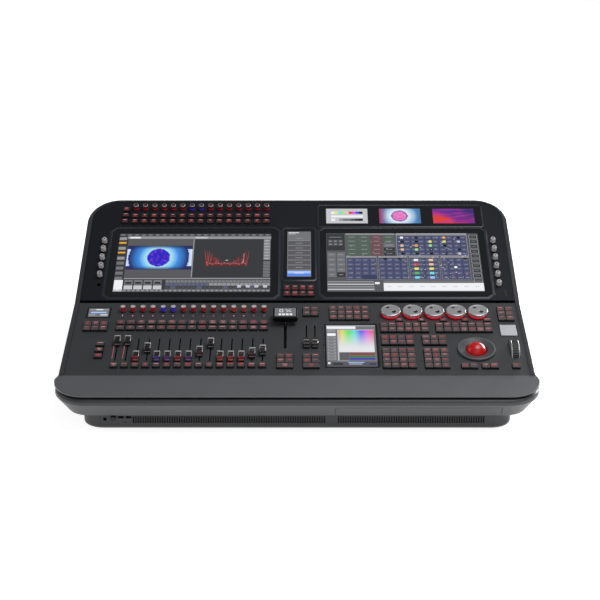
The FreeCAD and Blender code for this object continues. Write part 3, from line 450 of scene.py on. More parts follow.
def fader_cap(name, body):
    """A saddle-shaped cap: black far slope, a pale band along its far crest, dark valley and a lit near
    slope; the right side is pale further along than the left, a painted highlight.
    """
    shape = Shape()
    dark = SMOKE_BODY
    box = islands(name)[0]
    (u0, v0, n0), (u1, v1, n1) = box
    foot = 2.5 * MM
    across, middle_v, _ = middle(box)
    side = 1.1 * MM
    # side profile from the near foot over the top to the far foot, as (v, n, material to the next point)
    ridge_and_highlight = PALE if name.startswith("fader") else dark
    section = [(v0, foot, dark), (v0 + 0.3 * MM, foot + 2.5 * MM, body),
               (v0 + 0.6 * MM, foot + 4.6 * MM, LINE), (v0 + 0.75 * MM, foot + 5.5 * MM, body),
               (v0 + 2.2 * MM, n1 - 2.6 * MM, body), (v0 + 4.4 * MM, n1 - 1.2 * MM, body),
               (v0 + 8.5 * MM, n1 - 3.2 * MM, dark), (middle_v - 1.5 * MM, n1 - 5.4 * MM, dark),
               (middle_v + 3.0 * MM, n1 - 5.0 * MM, dark), (v1 - 6.0 * MM, n1 - 2.6 * MM, dark),
               (v1 - 4.4 * MM, n1 - 1.2 * MM, ridge_and_highlight), (v1 - 3.4 * MM, n1, ridge_and_highlight),
               (v1 - 2.0 * MM, n1, dark), (v1 - 0.8 * MM, n1 - 3 * MM, dark),
               (v1, foot, dark)]
    rails = []
    for inset, drop in ((0, side), (side, 0)):
        for u in (u0 + inset, u1 - inset):
            rails.append(shape.ring([(u, v, max(foot, n - drop)) for v, n, _ in section]))
    left_low, right_low, left_top, right_top = rails
    for i in range(len(section) - 1):
        j = i + 1
        shape.face((left_low[i], left_top[i], left_top[j], left_low[j]), dark if i < 8 else ridge_and_highlight)
        shape.face((left_top[i], right_top[i], right_top[j], left_top[j]), section[i][2])
        # the right side is pale from the near crest to the far end, the left only on its far part: a painted
        # highlight from the light on the right
        shape.face((right_top[i], right_low[i], right_low[j], right_top[j]), dark if i < 5 else ridge_and_highlight)
    shape.face(left_low, dark)
    shape.face(reversed(right_low), dark)
    shape.face((left_low[0], left_low[-1], right_low[-1], right_low[0]), dark)
    blade, half_long = 0.9 * MM, 2.5 * MM
    shape.block(across - blade, across + blade, middle_v - half_long, middle_v + half_long, n0,
                foot + 0.2 * MM, BRIGHT, 0.3 * MM, 0.1 * MM)
    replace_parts(shape.piece(f"{name}_cap", name, 30), name)


def live_master():
    """The large master handle: a small display in a black frame on a broad black head."""
    shape = Shape()
    box = islands("live_master")[0]
    (u0, v0, n0), (u1, v1, n1) = box
    low = 11 * MM
    # inset and corner radius of each ring, and its height
    rings = ((3, 3, low), (1, 3, low + 1.5 * MM), (0, 3, low + 4 * MM), (0, 3, n1 - 1.2 * MM), (1.2, 2, n1))
    shape.stack([rounded((u0, u1, v0, v1), inset * MM, radius * MM, n)
                 for inset, radius, n in rings], [HEAD])
    near, far = v0 + 6 * MM, v1 - 3 * MM
    left, right = u0 + 4 * MM, u1 - 4 * MM
    shape.tile(left, right, near, far, n1 + 0.05 * MM, TONES["mid"])
    level = n1 + 0.12 * MM
    # a nought and a per cent sign, from short bars
    mid_u, mid_v = (left + right) / 2, near + (far - near) * 0.66
    for du, dv, wide, long in ((-13, 0, 1.6, 11), (-6, 0, 1.6, 11), (-9.5, 4.8, 7, 1.6),
                               (-9.5, -4.8, 7, 1.6), (3, 3.4, 3.2, 3.2), (11.5, -3.4, 3.2, 3.2)):
        shape.bar(mid_u + du * MM, mid_v + dv * MM, wide, long, level, TONES["white"])
    slash = [(1.8, -5.5), (4.0, -5.5), (13.0, 5.5), (10.8, 5.5)]
    shape.face(shape.ring([(mid_u + a * MM, mid_v + b * MM, level) for a, b in slash]), TONES["white"])
    for k in range(4):
        bar = left + (9 + k * 8.6) * MM
        shape.tile(bar, bar + 6.4 * MM, near + 4 * MM, near + 11 * MM, level, TONES["white"])
    across, along, _ = middle(box)
    shape.block(across - 2.3 * MM, across + 2.3 * MM, along - 6 * MM, along + 6 * MM, n0, low + 0.5 * MM,
                BRIGHT, 0.5 * MM, 0.2 * MM)
    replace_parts(shape.piece("live_master_head", "live_master", 30), "live_master")


# ---- display content

TONES = {name: lit(f"pixel_{name}", colour, rough=0.16) for name, colour in {
    "white": (0.85, 0.87, 0.9), "soft": (0.55, 0.56, 0.58), "mid": (0.17, 0.175, 0.19),
    "light": (0.30, 0.30, 0.32), "grey": (0.10, 0.10, 0.11), "dark": (0.040, 0.042, 0.046),
    "black": (0.012, 0.012, 0.013), "navy": (0.045, 0.055, 0.115), "slate": (0.080, 0.092, 0.175),
    "green": (0.085, 0.13, 0.10), "red": (0.16, 0.075, 0.085), "blue": (0.10, 0.24, 0.80),
    "sky": (0.35, 0.55, 0.95), "orange": (0.85, 0.40, 0.04), "yellow": (0.85, 0.75, 0.15),
    "lime": (0.35, 0.80, 0.20), "leaf": (0.08, 0.50, 0.12), "cyan": (0.15, 0.75, 0.80),
    "crimson": (0.70, 0.06, 0.05), "pink": (0.85, 0.50, 0.55), "amber": (0.85, 0.55, 0.30),
    "mauve": (0.26, 0.075, 0.085), "magenta": (0.75, 0.08, 0.70), "rust": (0.13, 0.022, 0.022),
    "brick": (0.30, 0.05, 0.05), "moss": (0.05, 0.20, 0.06), "indigo": (0.06, 0.06, 0.42),
    "pure_blue": (0.05, 0.08, 0.75),
}.items()}
LAYER = 0.03 * MM
pictures = []


class Display:
    """Tiles of light on a display, placed by fractions of its lit area from the top left."""

    def __init__(self, name, deck, u0, u1, v0, v1, n):
        self.name = name
        self.shape = Shape(deck)
        self.u0, self.u1, self.v0, self.v1, self.n = u0, u1, v0, v1, n

    def place(self, x, y):
        return self.u0 + x * (self.u1 - self.u0), self.v1 - y * (self.v1 - self.v0)

    def rect(self, x0, x1, y0, y1, colour, layer=1):
        left, top = self.place(x0, y0)
        right, bottom = self.place(x1, y1)
        self.shape.tile(left, right, bottom, top, self.n + layer * LAYER, TONES[colour])

    def rects(self, *rows):
        for row in rows:
            self.rect(*row)

    def grid(self, x0, x1, y0, y1, columns, rows, colour, dash="light"):
        """Equal tiles, each with a short line in it. The colour may depend on the column and row."""
        gap = 0.12
        wide, high = (x1 - x0) / columns, (y1 - y0) / rows
        for i in range(columns):
            for j in range(rows):
                name = colour(i, j) if callable(colour) else colour
                if name is None:
                    continue
                left, top = x0 + i * wide, y0 + j * high
                self.rect(left + wide * gap / 2, left + wide * (1 - gap / 2), top + high * gap / 2,
                          top + high * (1 - gap / 2), name, 2)
                self.rect(left + wide * 0.25, left + wide * 0.72, top + high * 0.44, top + high * 0.56,
                          dash, 3)

    def outline(self, x0, x1, y0, y1, colour):
        """Four thin strips round a block."""
        layer, wide = 5, 0.7 * MM
        du, dv = wide / (self.u1 - self.u0), wide / (self.v1 - self.v0)
        for strip in ((x0, x1, y0, y0 + dv), (x0, x1, y1 - dv, y1), (x0, x0 + du, y0, y1),
                      (x1 - du, x1, y0, y1)):
            self.rect(*strip, colour, layer)

    def disc(self, x, y, radius, colour, layer):
        u, v = self.place(x, y)
        ring = [(p, q, self.n + layer * LAYER) for p, q in circle(radius, 20, u, v)]
        self.shape.face(self.shape.ring(ring), TONES[colour])

    def painting(self, x0, x1, y0, y1, columns, rows, shade):
        """A smooth picture: a fine grid whose corners take their colour from a formula."""
        left, top = self.place(x0, y0)
        right, bottom = self.place(x1, y1)
        level = self.n + 3 * LAYER
        across = columns + 1
        spots = [(i / columns, j / rows) for j in range(rows + 1) for i in range(across)]
        places = [Vector((left + (right - left) * x, top + (bottom - top) * y, level)) for x, y in spots]
        points = [DECK[self.shape.deck] @ place for place in places]
        starts = [j * across + i for j in range(rows) for i in range(columns)]
        faces = [(a, a + across, a + across + 1, a + 1) for a in starts]
        name = f"{self.name}_picture_{len(pictures) + 1}"
        mesh = bpy.data.meshes.new(name)
        mesh.from_pydata(points, [], faces)
        stored = mesh.color_attributes.new("shade", "FLOAT_COLOR", "POINT")
        for corner, (x, y) in zip(stored.data, spots):
            corner.color = [min(1.0, max(0.0, c)) for c in shade(x, y)] + [1.0]
        mesh.materials.append(from_colours(f"{name}_light"))
        mesh.update()
        item = new_object(name, mesh)
        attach(item, "console")
        pictures.append(item)

    def done(self):
        self.shape.piece(self.name, "console")


def lit_area(node, deck, margin_u, margin_v):
    """The lit part of a display: its glass, less a margin at the sides and at the ends."""
    (u0, v0, _), (u1, v1, n1) = islands(node, deck)[0]
    return u0 + margin_u * MM, u1 - margin_u * MM, v0 + margin_v * MM, v1 - margin_v * MM, n1 + 0.1 * MM


def mix(a, b, t):
    t = min(1.0, max(0.0, t))
    return [p + (q - p) * t for p, q in zip(a, b)]


def eye_picture(x, y):
    """A bright oval with a speckled deep-blue disc in its middle."""
    dx, dy = (x - 0.49) * 2.1, (y - 0.5) * 1.0
    far = math.hypot(dx, dy)
    speckle = noise.noise(Vector((x * 22, y * 12, 3.0)))
    disc = 0.37
    if far < disc:
        base = mix((0.012, 0.006, 0.50), (0.02, 0.01, 0.62), far / disc)
        return mix(base, (0.30, 0.06, 0.60), speckle * 1.5 - 0.05)
    glow = mix((0.45, 0.86, 0.95), (0.05, 0.30, 0.85), (far - disc) / 0.26)
    glow = mix(glow, (0.006, 0.022, 0.17), (far - 0.60) / 0.34)
    if far > 0.98 and abs(y - 0.5) < 0.36:
        return mix((0.55, 0.70, 0.95), (0.85, 0.88, 0.95), (far - 0.98) * 6)
    return mix(glow, (0.01, 0.015, 0.06), (abs(y - 0.5) - 0.36) * 7)


def left_screen():
    screen = Display("left_screen_image", "rear", *lit_area("left_touchscreen", "rear", 18.3, 19.2))
    screen.rect(0, 1, 0, 1, "dark", 0)
    screen.grid(0.0, 1.0, 0.005, 0.045, 22, 1, "grey", dash="soft")
    screen.rects((0.055, 1.0, 0.05, 0.095, "light"), (0.07, 0.14, 0.06, 0.085, "white", 2),
                 (0.5, 0.58, 0.06, 0.085, "soft", 2))
    for j in range(9):
        top = 0.065 + j * 0.085
        colour = "orange" if j in (1, 3) else "light" if j in (0, 2, 4) else "mid"
        high = 0.028 if j in (1, 3) else 0.05
        screen.rect(0.003, 0.05, top, top + high, colour, 2)
    screen.rect(0.062, 0.49, 0.1, 0.755, "grey")
    screen.painting(0.064, 0.488, 0.215, 0.625, 72, 44, eye_picture)
    screen.rects((0.497, 0.945, 0.1, 0.755, "dark"), (0.49, 0.497, 0.1, 0.755, "light", 2))
    stage_shape(screen)
    screen.grid(0.95, 0.998, 0.1, 0.46, 1, 7, "light", dash="soft")
    screen.grid(0.95, 0.998, 0.48, 0.75, 1, 5, "mid", dash="grey")
    screen.rects((0.062, 1.0, 0.765, 0.785, "light", 2), (0.003, 0.058, 0.8, 0.985, "white", 2))
    for i in range(4):
        left = 0.068 + i * 0.062
        screen.rects((left, left + 0.054, 0.8, 0.88, "mid", 2),
                     (left + 0.008, left + 0.046, 0.835, 0.862, "black", 3),
                     (left, left + 0.054, 0.89, 0.955, "soft", 2))
    screen.rect(0.33, 1.0, 0.8, 0.975, "grey")
    screen.grid(0.33, 1.0, 0.795, 0.85, 28, 1, "mid")
    screen.grid(0.33, 1.0, 0.85, 0.895, 24, 1, lambda i, j: "slate" if i < 10 else "light")
    screen.grid(0.33, 1.0, 0.9, 0.945, 20, 1, lambda i, j: "slate" if i % 5 == 1 else "dark", dash="mid")
    screen.grid(0.0, 1.0, 0.955, 0.995, 34, 1, "mid", dash="soft")
    for i in range(4):
        screen.rect(0.79 + i * 0.055, 0.815 + i * 0.055, 0.885, 0.925, "soft", 3)
    screen.done()


def stage_shape(screen):
    """A little stage seen from the hall: two fans of thin beams over a low deck."""
    draw = random.Random(11)
    for side in (-1, 1):
        for k in range(60):
            reach = draw.random()
            foot = 0.715 + side * (0.015 + 0.115 * reach)
            tip = foot + side * draw.uniform(-0.012, 0.022)
            rise = (0.05 + 0.24 * reach ** 1.2) * draw.uniform(0.45, 1.1)
            half = draw.uniform(0.0012, 0.0026)
            corners = [(foot - half, 0.56), (foot + half, 0.56), (tip + half * 0.5, 0.545 - rise),
                       (tip - half * 0.5, 0.545 - rise)]
            level = screen.n + (2 + k % 4) * LAYER
            places = [(*screen.place(x, y), level) for x, y in corners]
            pale = "crimson" if k % 5 == 0 else "mauve"
            if side > 0 and reach > 0.75 and k % 3 == 0:
                pale = "pink"
            screen.shape.face(screen.shape.ring(places), TONES[draw.choice(("rust", "rust", "mauve", pale))])
    screen.rects((0.6, 0.835, 0.535, 0.562, "rust", 6), (0.612, 0.822, 0.515, 0.535, "mauve", 6),
                 (0.707, 0.724, 0.462, 0.474, "soft", 7))
    for k in range(14):
        x = 0.585 + k * 0.019
        screen.rect(x, x + 0.003, 0.5 + 0.018 * (k % 3), 0.508 + 0.018 * (k % 3), "pink", 7)


def right_screen():
    screen = Display("right_screen_image", "rear", *lit_area("right_touchscreen", "rear", 16.7, 18.5))
    screen.rects((0, 1, 0, 1, "grey", 0), (0.003, 0.12, 0.01, 0.3, "dark"),
                 (0.02, 0.1, 0.06, 0.075, "mid", 2))
    screen.grid(0.01, 0.11, 0.11, 0.22, 3, 2, "grey", dash="soft")
    screen.grid(0.003, 0.122, 0.33, 0.76, 2, 5, lambda i, j: "mid" if (i, j) != (1, 4) else "dark")
    screen.rect(0.127, 0.45, 0.0, 0.025, "light")

    def windows(i, j):
        if i == 3 and j > 2:
            return "dark"
        return ("green", "green", "red", "green" if j < 2 else "mid")[i]

    screen.grid(0.127, 0.452, 0.03, 0.39, 4, 5, windows)
    screen.rects((0.46, 0.925, 0.0, 0.035, "light"), (0.46, 0.925, 0.04, 0.39, "navy"))
    screen.grid(0.46, 0.925, 0.04, 0.39, 10, 5, "slate")
    swatches = {"black": ((0, 1), (2, 0), (4, 3), (6, 2), (6, 4), (8, 0), (8, 3), (2, 1), (2, 4), (4, 4),
                          (0, 4)),
                "amber": ((0, 2), (0, 3)), "orange": ((2, 2), (6, 0)), "lime": ((2, 3), (4, 2)),
                "yellow": ((4, 1), (6, 1)), "soft": ((8, 1), (8, 4)), "white": ((0, 0),)}
    for colour, places in swatches.items():
        for i, j in places:
            x, y = 0.46 + (i + 0.5) * 0.0465 + 0.012, 0.04 + (j + 0.5) * 0.07
            screen.rect(x - 0.009, x + 0.011, y - 0.018, y + 0.018, colour, 4)
    blocks = ((0.127, 0.325), (0.335, 0.525), (0.535, 0.73), (0.74, 0.925))
    for left, right in blocks:
        screen.rect(left, right, 0.4, 0.425, "light")
        screen.rect(left, right, 0.43, 0.8, "navy")
        # the first block's last row is half empty
        filled = 2 if left < 0.2 else 4
        screen.grid(left, right, 0.43, 0.8, 4, 5, lambda i, j: "slate" if j < 4 or i < filled else None)
    for j, (first, second) in enumerate((("white", "amber"), ("crimson", "amber"), ("yellow", "yellow"),
                                         ("leaf", "cyan"), ("cyan", "sky"))):
        y = 0.43 + (j + 0.5) * 0.074
        screen.rect(0.565, 0.593, y - 0.019, y + 0.019, first, 4)
        screen.rect(0.662, 0.69, y - 0.019, y + 0.019, second, 4)
    for x in (0.38, 0.475, 0.9):
        screen.rect(x - 0.012, x + 0.012, 0.431, 0.459, "black", 4)
    screen.disc(0.832, 0.59, 4.2 * MM, "white", 5)
    screen.disc(0.832, 0.675, 2.0 * MM, "soft", 5)
    for i in range(6):
        colour = ("pink", "soft", "crimson")[i % 3]
        screen.disc(0.765 + i * 0.027, 0.755 - 0.06 * (i % 2), 1.2 * MM, colour, 5)
    screen.grid(0.935, 0.998, 0.02, 0.86, 1, 10, "dark", dash="mid")
    for j in range(10):
        screen.outline(0.94, 0.993, 0.03 + j * 0.084, 0.096 + j * 0.084, "soft")
    screen.outline(0.46, 0.925, 0.0, 0.39, "soft")
    for left, right in blocks:
        screen.outline(left, right, 0.4, 0.8, "light")
    draw = random.Random(5)
    # short strokes in the place of writing
    for count, start, end, longest, colours in ((90, 0.47, 0.91, 0.012, ("soft", "light", "white")),
                                                (40, 0.135, 0.44, 0.01, ("light", "soft"))):
        for _ in range(count):
            x, y = draw.uniform(start, end), draw.uniform(0.05, 0.78)
            screen.rect(x, x + draw.uniform(0.004, longest), y, y + 0.006, draw.choice(colours), 6)
    for j in range(4):
        screen.rect(0.003, 0.3, 0.825 + j * 0.042, 0.845 + j * 0.042, "soft" if j % 2 else "light", 2)
    screen.rects((0.305, 0.335, 0.84, 0.875, "white", 2), (0.36, 0.99, 0.815, 0.84, "mid", 2),
                 (0.36, 0.998, 0.855, 0.985, "white", 2))
    for i in range(9):
        screen.rect(0.38 + i * 0.07, 0.41 + i * 0.07, 0.91, 0.92, "soft", 3)
    screen.done()


def centre_screen():
    screen = Display("centre_screen_image", "rear", *lit_area("centre_display", "rear", 9.2, 11.3))
    screen.rects((0, 1, 0, 1, "mid", 0), (0.05, 0.5, 0.02, 0.035, "white", 2),
                 (0.05, 0.35, 0.05, 0.062, "soft", 2))
    for j in range(7):
        top = 0.11 + j * 0.108
        screen.rect(0.03, 0.97, top, top + 0.09, "grey" if j else "mid")
        screen.rect(0.03, 0.97, top + 0.09, top + 0.096, "light", 2)
        screen.rect(0.35, 0.65, top + 0.04, top + 0.052, "light", 2)
    screen.rects((0.02, 0.98, 0.875, 0.93, "sky", 2), (0.02, 0.98, 0.93, 0.99, "blue", 2),
                 (0.3, 0.7, 0.915, 0.93, "white", 3))
    screen.done()


def monitor_strip():
    u0, u1, v0, v1, n = lit_area("monitor_strip", "rear", 0, 0)
    along = (v0 + v1) / 2
    half_u, half_v = 53 * MM, 28.8 * MM
    centres = (u0 + 71.5 * MM, (u0 + u1) / 2, u1 - 70.2 * MM)
    screens = [Display(f"monitor_image_{k + 1}", "rear", u - half_u, u + half_u, along - half_v,
                       along + half_v, n) for k, u in enumerate(centres)]
    bars = screens[0]
    bars.rect(0, 1, 0, 1, "soft", 0)
    for i, colour in enumerate(("white", "yellow", "cyan", "lime", "pink", "crimson", "magenta", "pure_blue",
                                "black")):
        bars.rect(0.12 + i * 0.085, 0.205 + i * 0.085, 0.2, 0.36, colour, 2)
    bars.rect(0.12, 0.885, 0.46, 0.6, "white", 2)
    for i, colour in enumerate(("white", "soft", "light", "mid", "mid", "grey", "dark", "black")):
        bars.rect(0.12 + i * 0.0956, 0.2156 + i * 0.0956, 0.68, 0.84, colour, 2)
    bars.done()

    def disc_picture(x, y):
        far = math.hypot((x - 0.49) * 1.85, y - 0.5)
        if far < 0.32:
            return mix((0.75, 0.13, 0.42), (0.85, 0.26, 0.62), noise.noise(Vector((x * 9, y * 9, 0))) + 0.5)
        if far < 0.37:
            return (0.1, 0.05, 0.35)
        glow = mix((0.8, 0.93, 1.0), (0.06, 0.25, 0.55), (far - 0.37) * 2.2)
        edge = mix(glow, (0.35, 0.03, 0.12), (0.2 - x) * 5)
        return mix(edge, (0.06, 0.16, 0.32), (x - 0.86) * 7)

    def wave_picture(x, y):
        sway = 0.12 * math.sin(x * 6 + 1.2) + 0.3 * noise.noise(Vector((x * 2.6, y * 3.4, 5)))
        level = y + sway - x * 0.25
        low = mix((0.1, 0.018, 0.28), (0.4, 0.02, 0.2), (level - 0.15) * 3.2)
        low = mix(low, (0.75, 0.045, 0.012), (level - 0.45) * 4)
        low = mix(low, (0.2, 0.012, 0.26), (x - 0.45) * 2.2)
        low = mix(low, (0.03, 0.016, 0.16), (x - 0.35) * 2.5 * (1.0 - y))
        streak = noise.noise(Vector((x * 3.0 + y * 5.0, y * 9.0, 2)))
        return mix(low, (0.45, 0.03, 0.36), streak * 1.4)

    for screen, picture in zip(screens[1:], (disc_picture, wave_picture)):
        screen.rect(-0.01, 1.01, -0.02, 1.02, "black", 0)
        screen.painting(0, 1, 0, 1, 48, 28, picture)
        screen.done()


def hue_colour(x, y):
    """Hue across, fading to white down the picture."""
    hue = x * 6 * 0.92 + 0.45
    rgb = [min(1, max(0, abs((hue + shift) % 6 - 3) - 1)) for shift in (0, 4, 2)]
    rgb = [c * 0.95 + 0.02 for c in rgb]
    return mix([c ** 1.3 * 0.8 for c in rgb], (0.8, 0.81, 0.84), 0.12 + 1.15 * y ** 1.15)


def palette_screen():
    screen = Display("palette_image", "front", *lit_area("palette_touchscreen", "front", 4.5, 5.5))
    screen.rects((0, 1, 0, 1, "mid", 0), (0.0, 1.0, 0.0, 0.035, "light"),
                 (0.01, 0.6, 0.03, 0.095, "white", 2), (0.02, 0.19, 0.1, 0.17, "light", 2),
                 (0.02, 0.19, 0.2, 0.27, "white", 2))
    for j in range(8):
        screen.rect(0.02, 0.19, 0.3 + j * 0.07, 0.345 + j * 0.07, "light", 2)
        screen.rect(0.05, 0.15, 0.315 + j * 0.07, 0.328 + j * 0.07, "grey", 3)
    screen.rects((0.225, 0.97, 0.115, 0.125, "white", 2), (0.225, 0.25, 0.115, 0.86, "soft", 2))
    screen.painting(0.25, 0.96, 0.13, 0.66, 42, 28, hue_colour)
    for j, colour in enumerate(("brick", "moss", "indigo")):
        top = 0.685 + j * 0.055
        screen.rect(0.25, 0.45, top, top + 0.045, "grey", 2)
        screen.rect(0.46, 0.96, top, top + 0.045, colour, 3)
    screen.rects((0.27, 0.44, 0.855, 0.875, "light", 3), (0.0, 1.0, 0.885, 1.0, "grey", 2),
                 (0.42, 0.74, 0.893, 0.912, "sky", 3), (0.02, 0.07, 0.9, 0.94, "white", 3),
                 (0.12, 0.32, 0.915, 0.965, "dark", 3), (0.36, 0.8, 0.925, 0.955, "slate", 3),
                 (0.44, 0.7, 0.932, 0.948, "soft", 4), (0.84, 0.97, 0.92, 0.96, "navy", 3))
    screen.done()


def small_displays():
    boxes = sorted(islands("small_displays"), key=lambda b: b[0][0])
    (u0, v0, _), (u1, v1, n1) = boxes[0]
    screen = Display("status_image", "front", u0 + 4 * MM, u1 - 4 * MM, v0 + 4 * MM, v1 - 4 * MM,
                     n1 + 0.1 * MM)
    screen.rects((0, 1, 0, 1, "mid", 0), (0.05, 0.95, 0.08, 0.22, "light"),
                 (0.35, 0.7, 0.1, 0.2, "white", 2), (0.12, 0.88, 0.4, 0.56, "sky"),
                 (0.05, 0.35, 0.68, 0.86, "light"), (0.6, 0.95, 0.68, 0.86, "soft"))
    screen.done()
    (u0, v0, _), (u1, v1, n1) = boxes[1]
    pad = Shape()
    pad.block(u0 + 1.2 * MM, u1 - 1.2 * MM, v0 + 1.2 * MM, v1 - 1.2 * MM, n1 - 0.2 * MM,
              n1 + 0.6 * MM, PAD_GREY, 1.5 * MM, 0.3 * MM)
    pad.piece("pad_surface", "console")


left_screen()
right_screen()
centre_screen()
monitor_strip()
palette_screen()
small_displays()

for number, lens in enumerate(FADER_BODIES, start=1):
    fader_cap(f"fader_{number:02d}", lens)
for number in (1, 2):
    fader_cap(f"master_fader_{number}", SMOKE_BODY)
live_master()


# ---- wheels and trackball

def encoder_wheels():
    """A broad turned disc with two finger dimples over a glowing skirt."""
    for i in range(1, 6):
        node = f"encoder_wheel_{i}"
        box = islands(node)[0]
        u, v, _ = middle(box)
        shape = Shape()
        shape.lathe(u, v, [(3 * MM, box[0][2]), (3 * MM, 1.2 * MM)], [BRIGHT], 16)
        profile = [(20.2, 1.0), (20.4, 1.4), (20.4, 4.6), (22.6, 5.0), (23.2, 6.0), (23.4, 8.0)]
        shape.lathe(u, v, mm(profile), [BLACK, WHEEL_GLOW], 64, roof=False)
        rim = [(23.4, 8.0), (23.4, 12.6), (22.9, 13.5), (22.0, 14.0), (20.6, 13.9), (19.8, 13.6)]
        rings = shape.lathe(u, v, mm(rim), [SILVER], 64, floor=False, roof=False)
        dished_top(shape, u, v, rings[-1], box[1][2] - 0.4 * MM)
        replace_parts(shape.piece(f"{node}_disc", node), node)


def dished_top(shape, u, v, edge, level):
    """The wheel's top face on a fine grid of rings, sunk at two finger dimples."""
    steps = len(edge)
    dimples = [(-7.2 * MM, 11.0 * MM, 4.3 * MM), (6.6 * MM, -6.6 * MM, 5.4 * MM)]
    outer = edge
    for k in range(1, 19):
        radius = 19.8 * MM * (1 - k / 19)
        places = []
        for du, dv in circle(radius, steps, 0, 0):
            sink = 0.0
            for cu, cv, size in dimples:
                near = math.hypot(du - cu, dv - cv) / size
                if near < 1:
                    sink += 1.9 * MM * (1 - near ** 2)
            places.append((u + du, v + dv, level - sink))
        inner = shape.ring(places)
        for s in range(steps):
            t = (s + 1) % steps
            angle = 2 * math.pi * (s + 0.5) / steps
            du, dv = (radius + 0.5 * MM) * math.cos(angle), (radius + 0.5 * MM) * math.sin(angle)
            inside = any(math.hypot(du - cu, dv - cv) < size for cu, cv, size in dimples)
            shape.face((outer[s], outer[t], inner[t], inner[s]), BLACK if inside else SILVER)
        outer = inner
    shape.face(outer, SILVER)


def trackball():
    box = islands("trackball")[0]
    radius = (box[1][0] - box[0][0]) / 2
    u, v, n = middle(box)
    shape = Shape()
    turns = [math.pi * (k + 0.5) / 40 for k in range(40)]
    profile = [(radius * math.sin(a), n - radius * math.cos(a)) for a in turns]
    shape.lathe(u, v, profile, [BALL], 64)
    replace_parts(shape.piece("trackball_sphere", "trackball", 80), "trackball")

    shape = Shape()
    # radius and height of the dish, from under its mouth round its knurled edge and back down the cone
    dish = [(25.0, 0.7), (43.0, 0.7), (44.0, 1.6), (44.0, 4.6), (43.2, 6.0), (41.6, 6.6), (40.0, 6.4),
            (36, 5.2), (31, 3.9), (28, 3.2), (26.2, 2.5), (25.3, 2.1), (25.0, 1.4)]
    steps = 144
    made = []
    for r, level in dish:
        edge = circle(r * MM, steps, u, v)
        if 42.5 < r and 1 < level < 5:
            edge[1::2] = circle((r - 0.35) * MM, steps, u, v)[1::2]
        made.append(shape.ring([(p, q, level * MM) for p, q in edge]))
    for i in range(len(made)):
        after = made[(i + 1) % len(made)]
        shape.bridge(made[i], after, RING_DARK if 5 < i < 12 else RING_EDGE)
    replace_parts(shape.piece("trackball_ring_dish", "trackball_ring", 40), "trackball_ring")


def level_wheel():
    """A thumbwheel on its side: ribbed black tread between silver cheeks."""
    box = islands("level_wheel")[0]
    radius = (box[1][1] - box[0][1]) / 2
    u, v, n = middle(box)
    steps = 132
    shape = Shape()
    # place across the wheel and depth under its rim of each edge, from the left cheek to the right
    half, tread = 10, 7
    left = [(-half, 3), (-9.2, 0.5), (-7.6, 0), (-tread, 0.8)]
    rings = []
    for across, under in left + [(-across, under) for across, under in reversed(left)]:
        size = radius - under * MM
        edge = circle(size, steps, n, v)
        if abs(across) == tread:
            edge[::3] = circle(size + 0.7 * MM, steps, n, v)[::3]
        rings.append(shape.ring([(u + across * MM, q, p) for p, q in edge]))
    for i in range(len(rings) - 1):
        shape.bridge(rings[i], rings[i + 1], BLACK if i == 3 else SILVER)
    shape.face(reversed(rings[0]), SILVER)
    shape.face(rings[-1], SILVER)
    for side in (-1, 1):
        ends = [u + side * half * MM, u + side * (half + 6) * MM]
        pins = [shape.ring([(e, q, p) for p, q in circle(3 * MM, 16, n, v)]) for e in sorted(ends)]
        shape.bridge(pins[0], pins[1], BRIGHT)
        shape.face(reversed(pins[0]), BRIGHT)
        shape.face(pins[1], BRIGHT)
    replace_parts(shape.piece("level_wheel_tread", "level_wheel", 25), "level_wheel")


encoder_wheels()
trackball()
level_wheel()


# ---- trim on the decks

def screen_frames():
    """A sloping frame round each large display."""
    for node, deck, width, cut, material in (("left_touchscreen", "rear", 7, 12, BEZEL),
                                             ("right_touchscreen", "rear", 7, 12, BEZEL),
                                             ("centre_display", "rear", 5, 3, BEZEL),
                                             ("monitor_strip", "rear", 4, 3, BEZEL),
                                             ("palette_touchscreen", "front", 3, 3, FRONT_PANEL)):
        (u0, v0, _), (u1, v1, _) = islands(node, deck)[0]
        shape = Shape(deck)
        loops = []
        for grow, level in ((0.2, 0.05), (0.2, 1.0), (1.2, 1.5), (width - 0.8, 0.6), (width, 0.05)):
            g = grow * MM
            c = cut * MM + g * 0.5
            left, right, near, far = u0 - g, u1 + g, v0 - g, v1 + g
            corners = [(left + c, near), (right - c, near), (right, near + c), (right, far - c),
                       (right - c, far), (left + c, far), (left, far - c), (left, near + c)]
            loops.append(shape.ring([(p, q, level * MM) for p, q in corners]))
        for i in range(len(loops)):
            shape.bridge(loops[(i + 1) % len(loops)], loops[i], material)
        shape.piece(f"{node}_frame", "console", 20)


def column_lamps():
    """A small lamp under each knob of the playback columns."""
    shape = Shape()
    for i, box in enumerate(sorted(islands("column_knobs"), key=lambda b: b[0][0])):
        u, v = middle(box)[0], box[0][1] - 12 * MM
        colour = MARK if i < 6 or i in (11, 12) else MARK_DIM
        shape.lathe(u, v, mm([(1.6, 0.02), (1.6, 0.5), (1.0, 0.9)]), [colour], 14)
    shape.piece("column_lamps", "console")


def fader_scales():
    """A fine scale beside each playback fader's slot, and a lit strip beside the first two."""
    shape = Shape()
    middles = [middle(islands(f"fader_{k:02d}")[0])[0] for k in range(1, 16)]
    top, bottom = -154 * MM, -229 * MM
    for u in middles:
        for k in range(11):
            v = bottom + (top - bottom) * k / 10
            long = 2.2 * MM if k % 5 == 0 else 1.3 * MM
            shape.tile(u - 3.0 * MM - long, u - 3.0 * MM, v - 0.15 * MM, v + 0.15 * MM, 0.06 * MM, SCALE_INK)
    for u in middles[:2]:
        shape.tile(u - 7.8 * MM, u - 6.4 * MM, bottom + 2 * MM, top - 10 * MM, 0.06 * MM, MARK_DIM)
    shape.piece("fader_scales", "console")


screen_frames()
column_lamps()
fader_scales()


# ---- wrist rest, groove, sockets

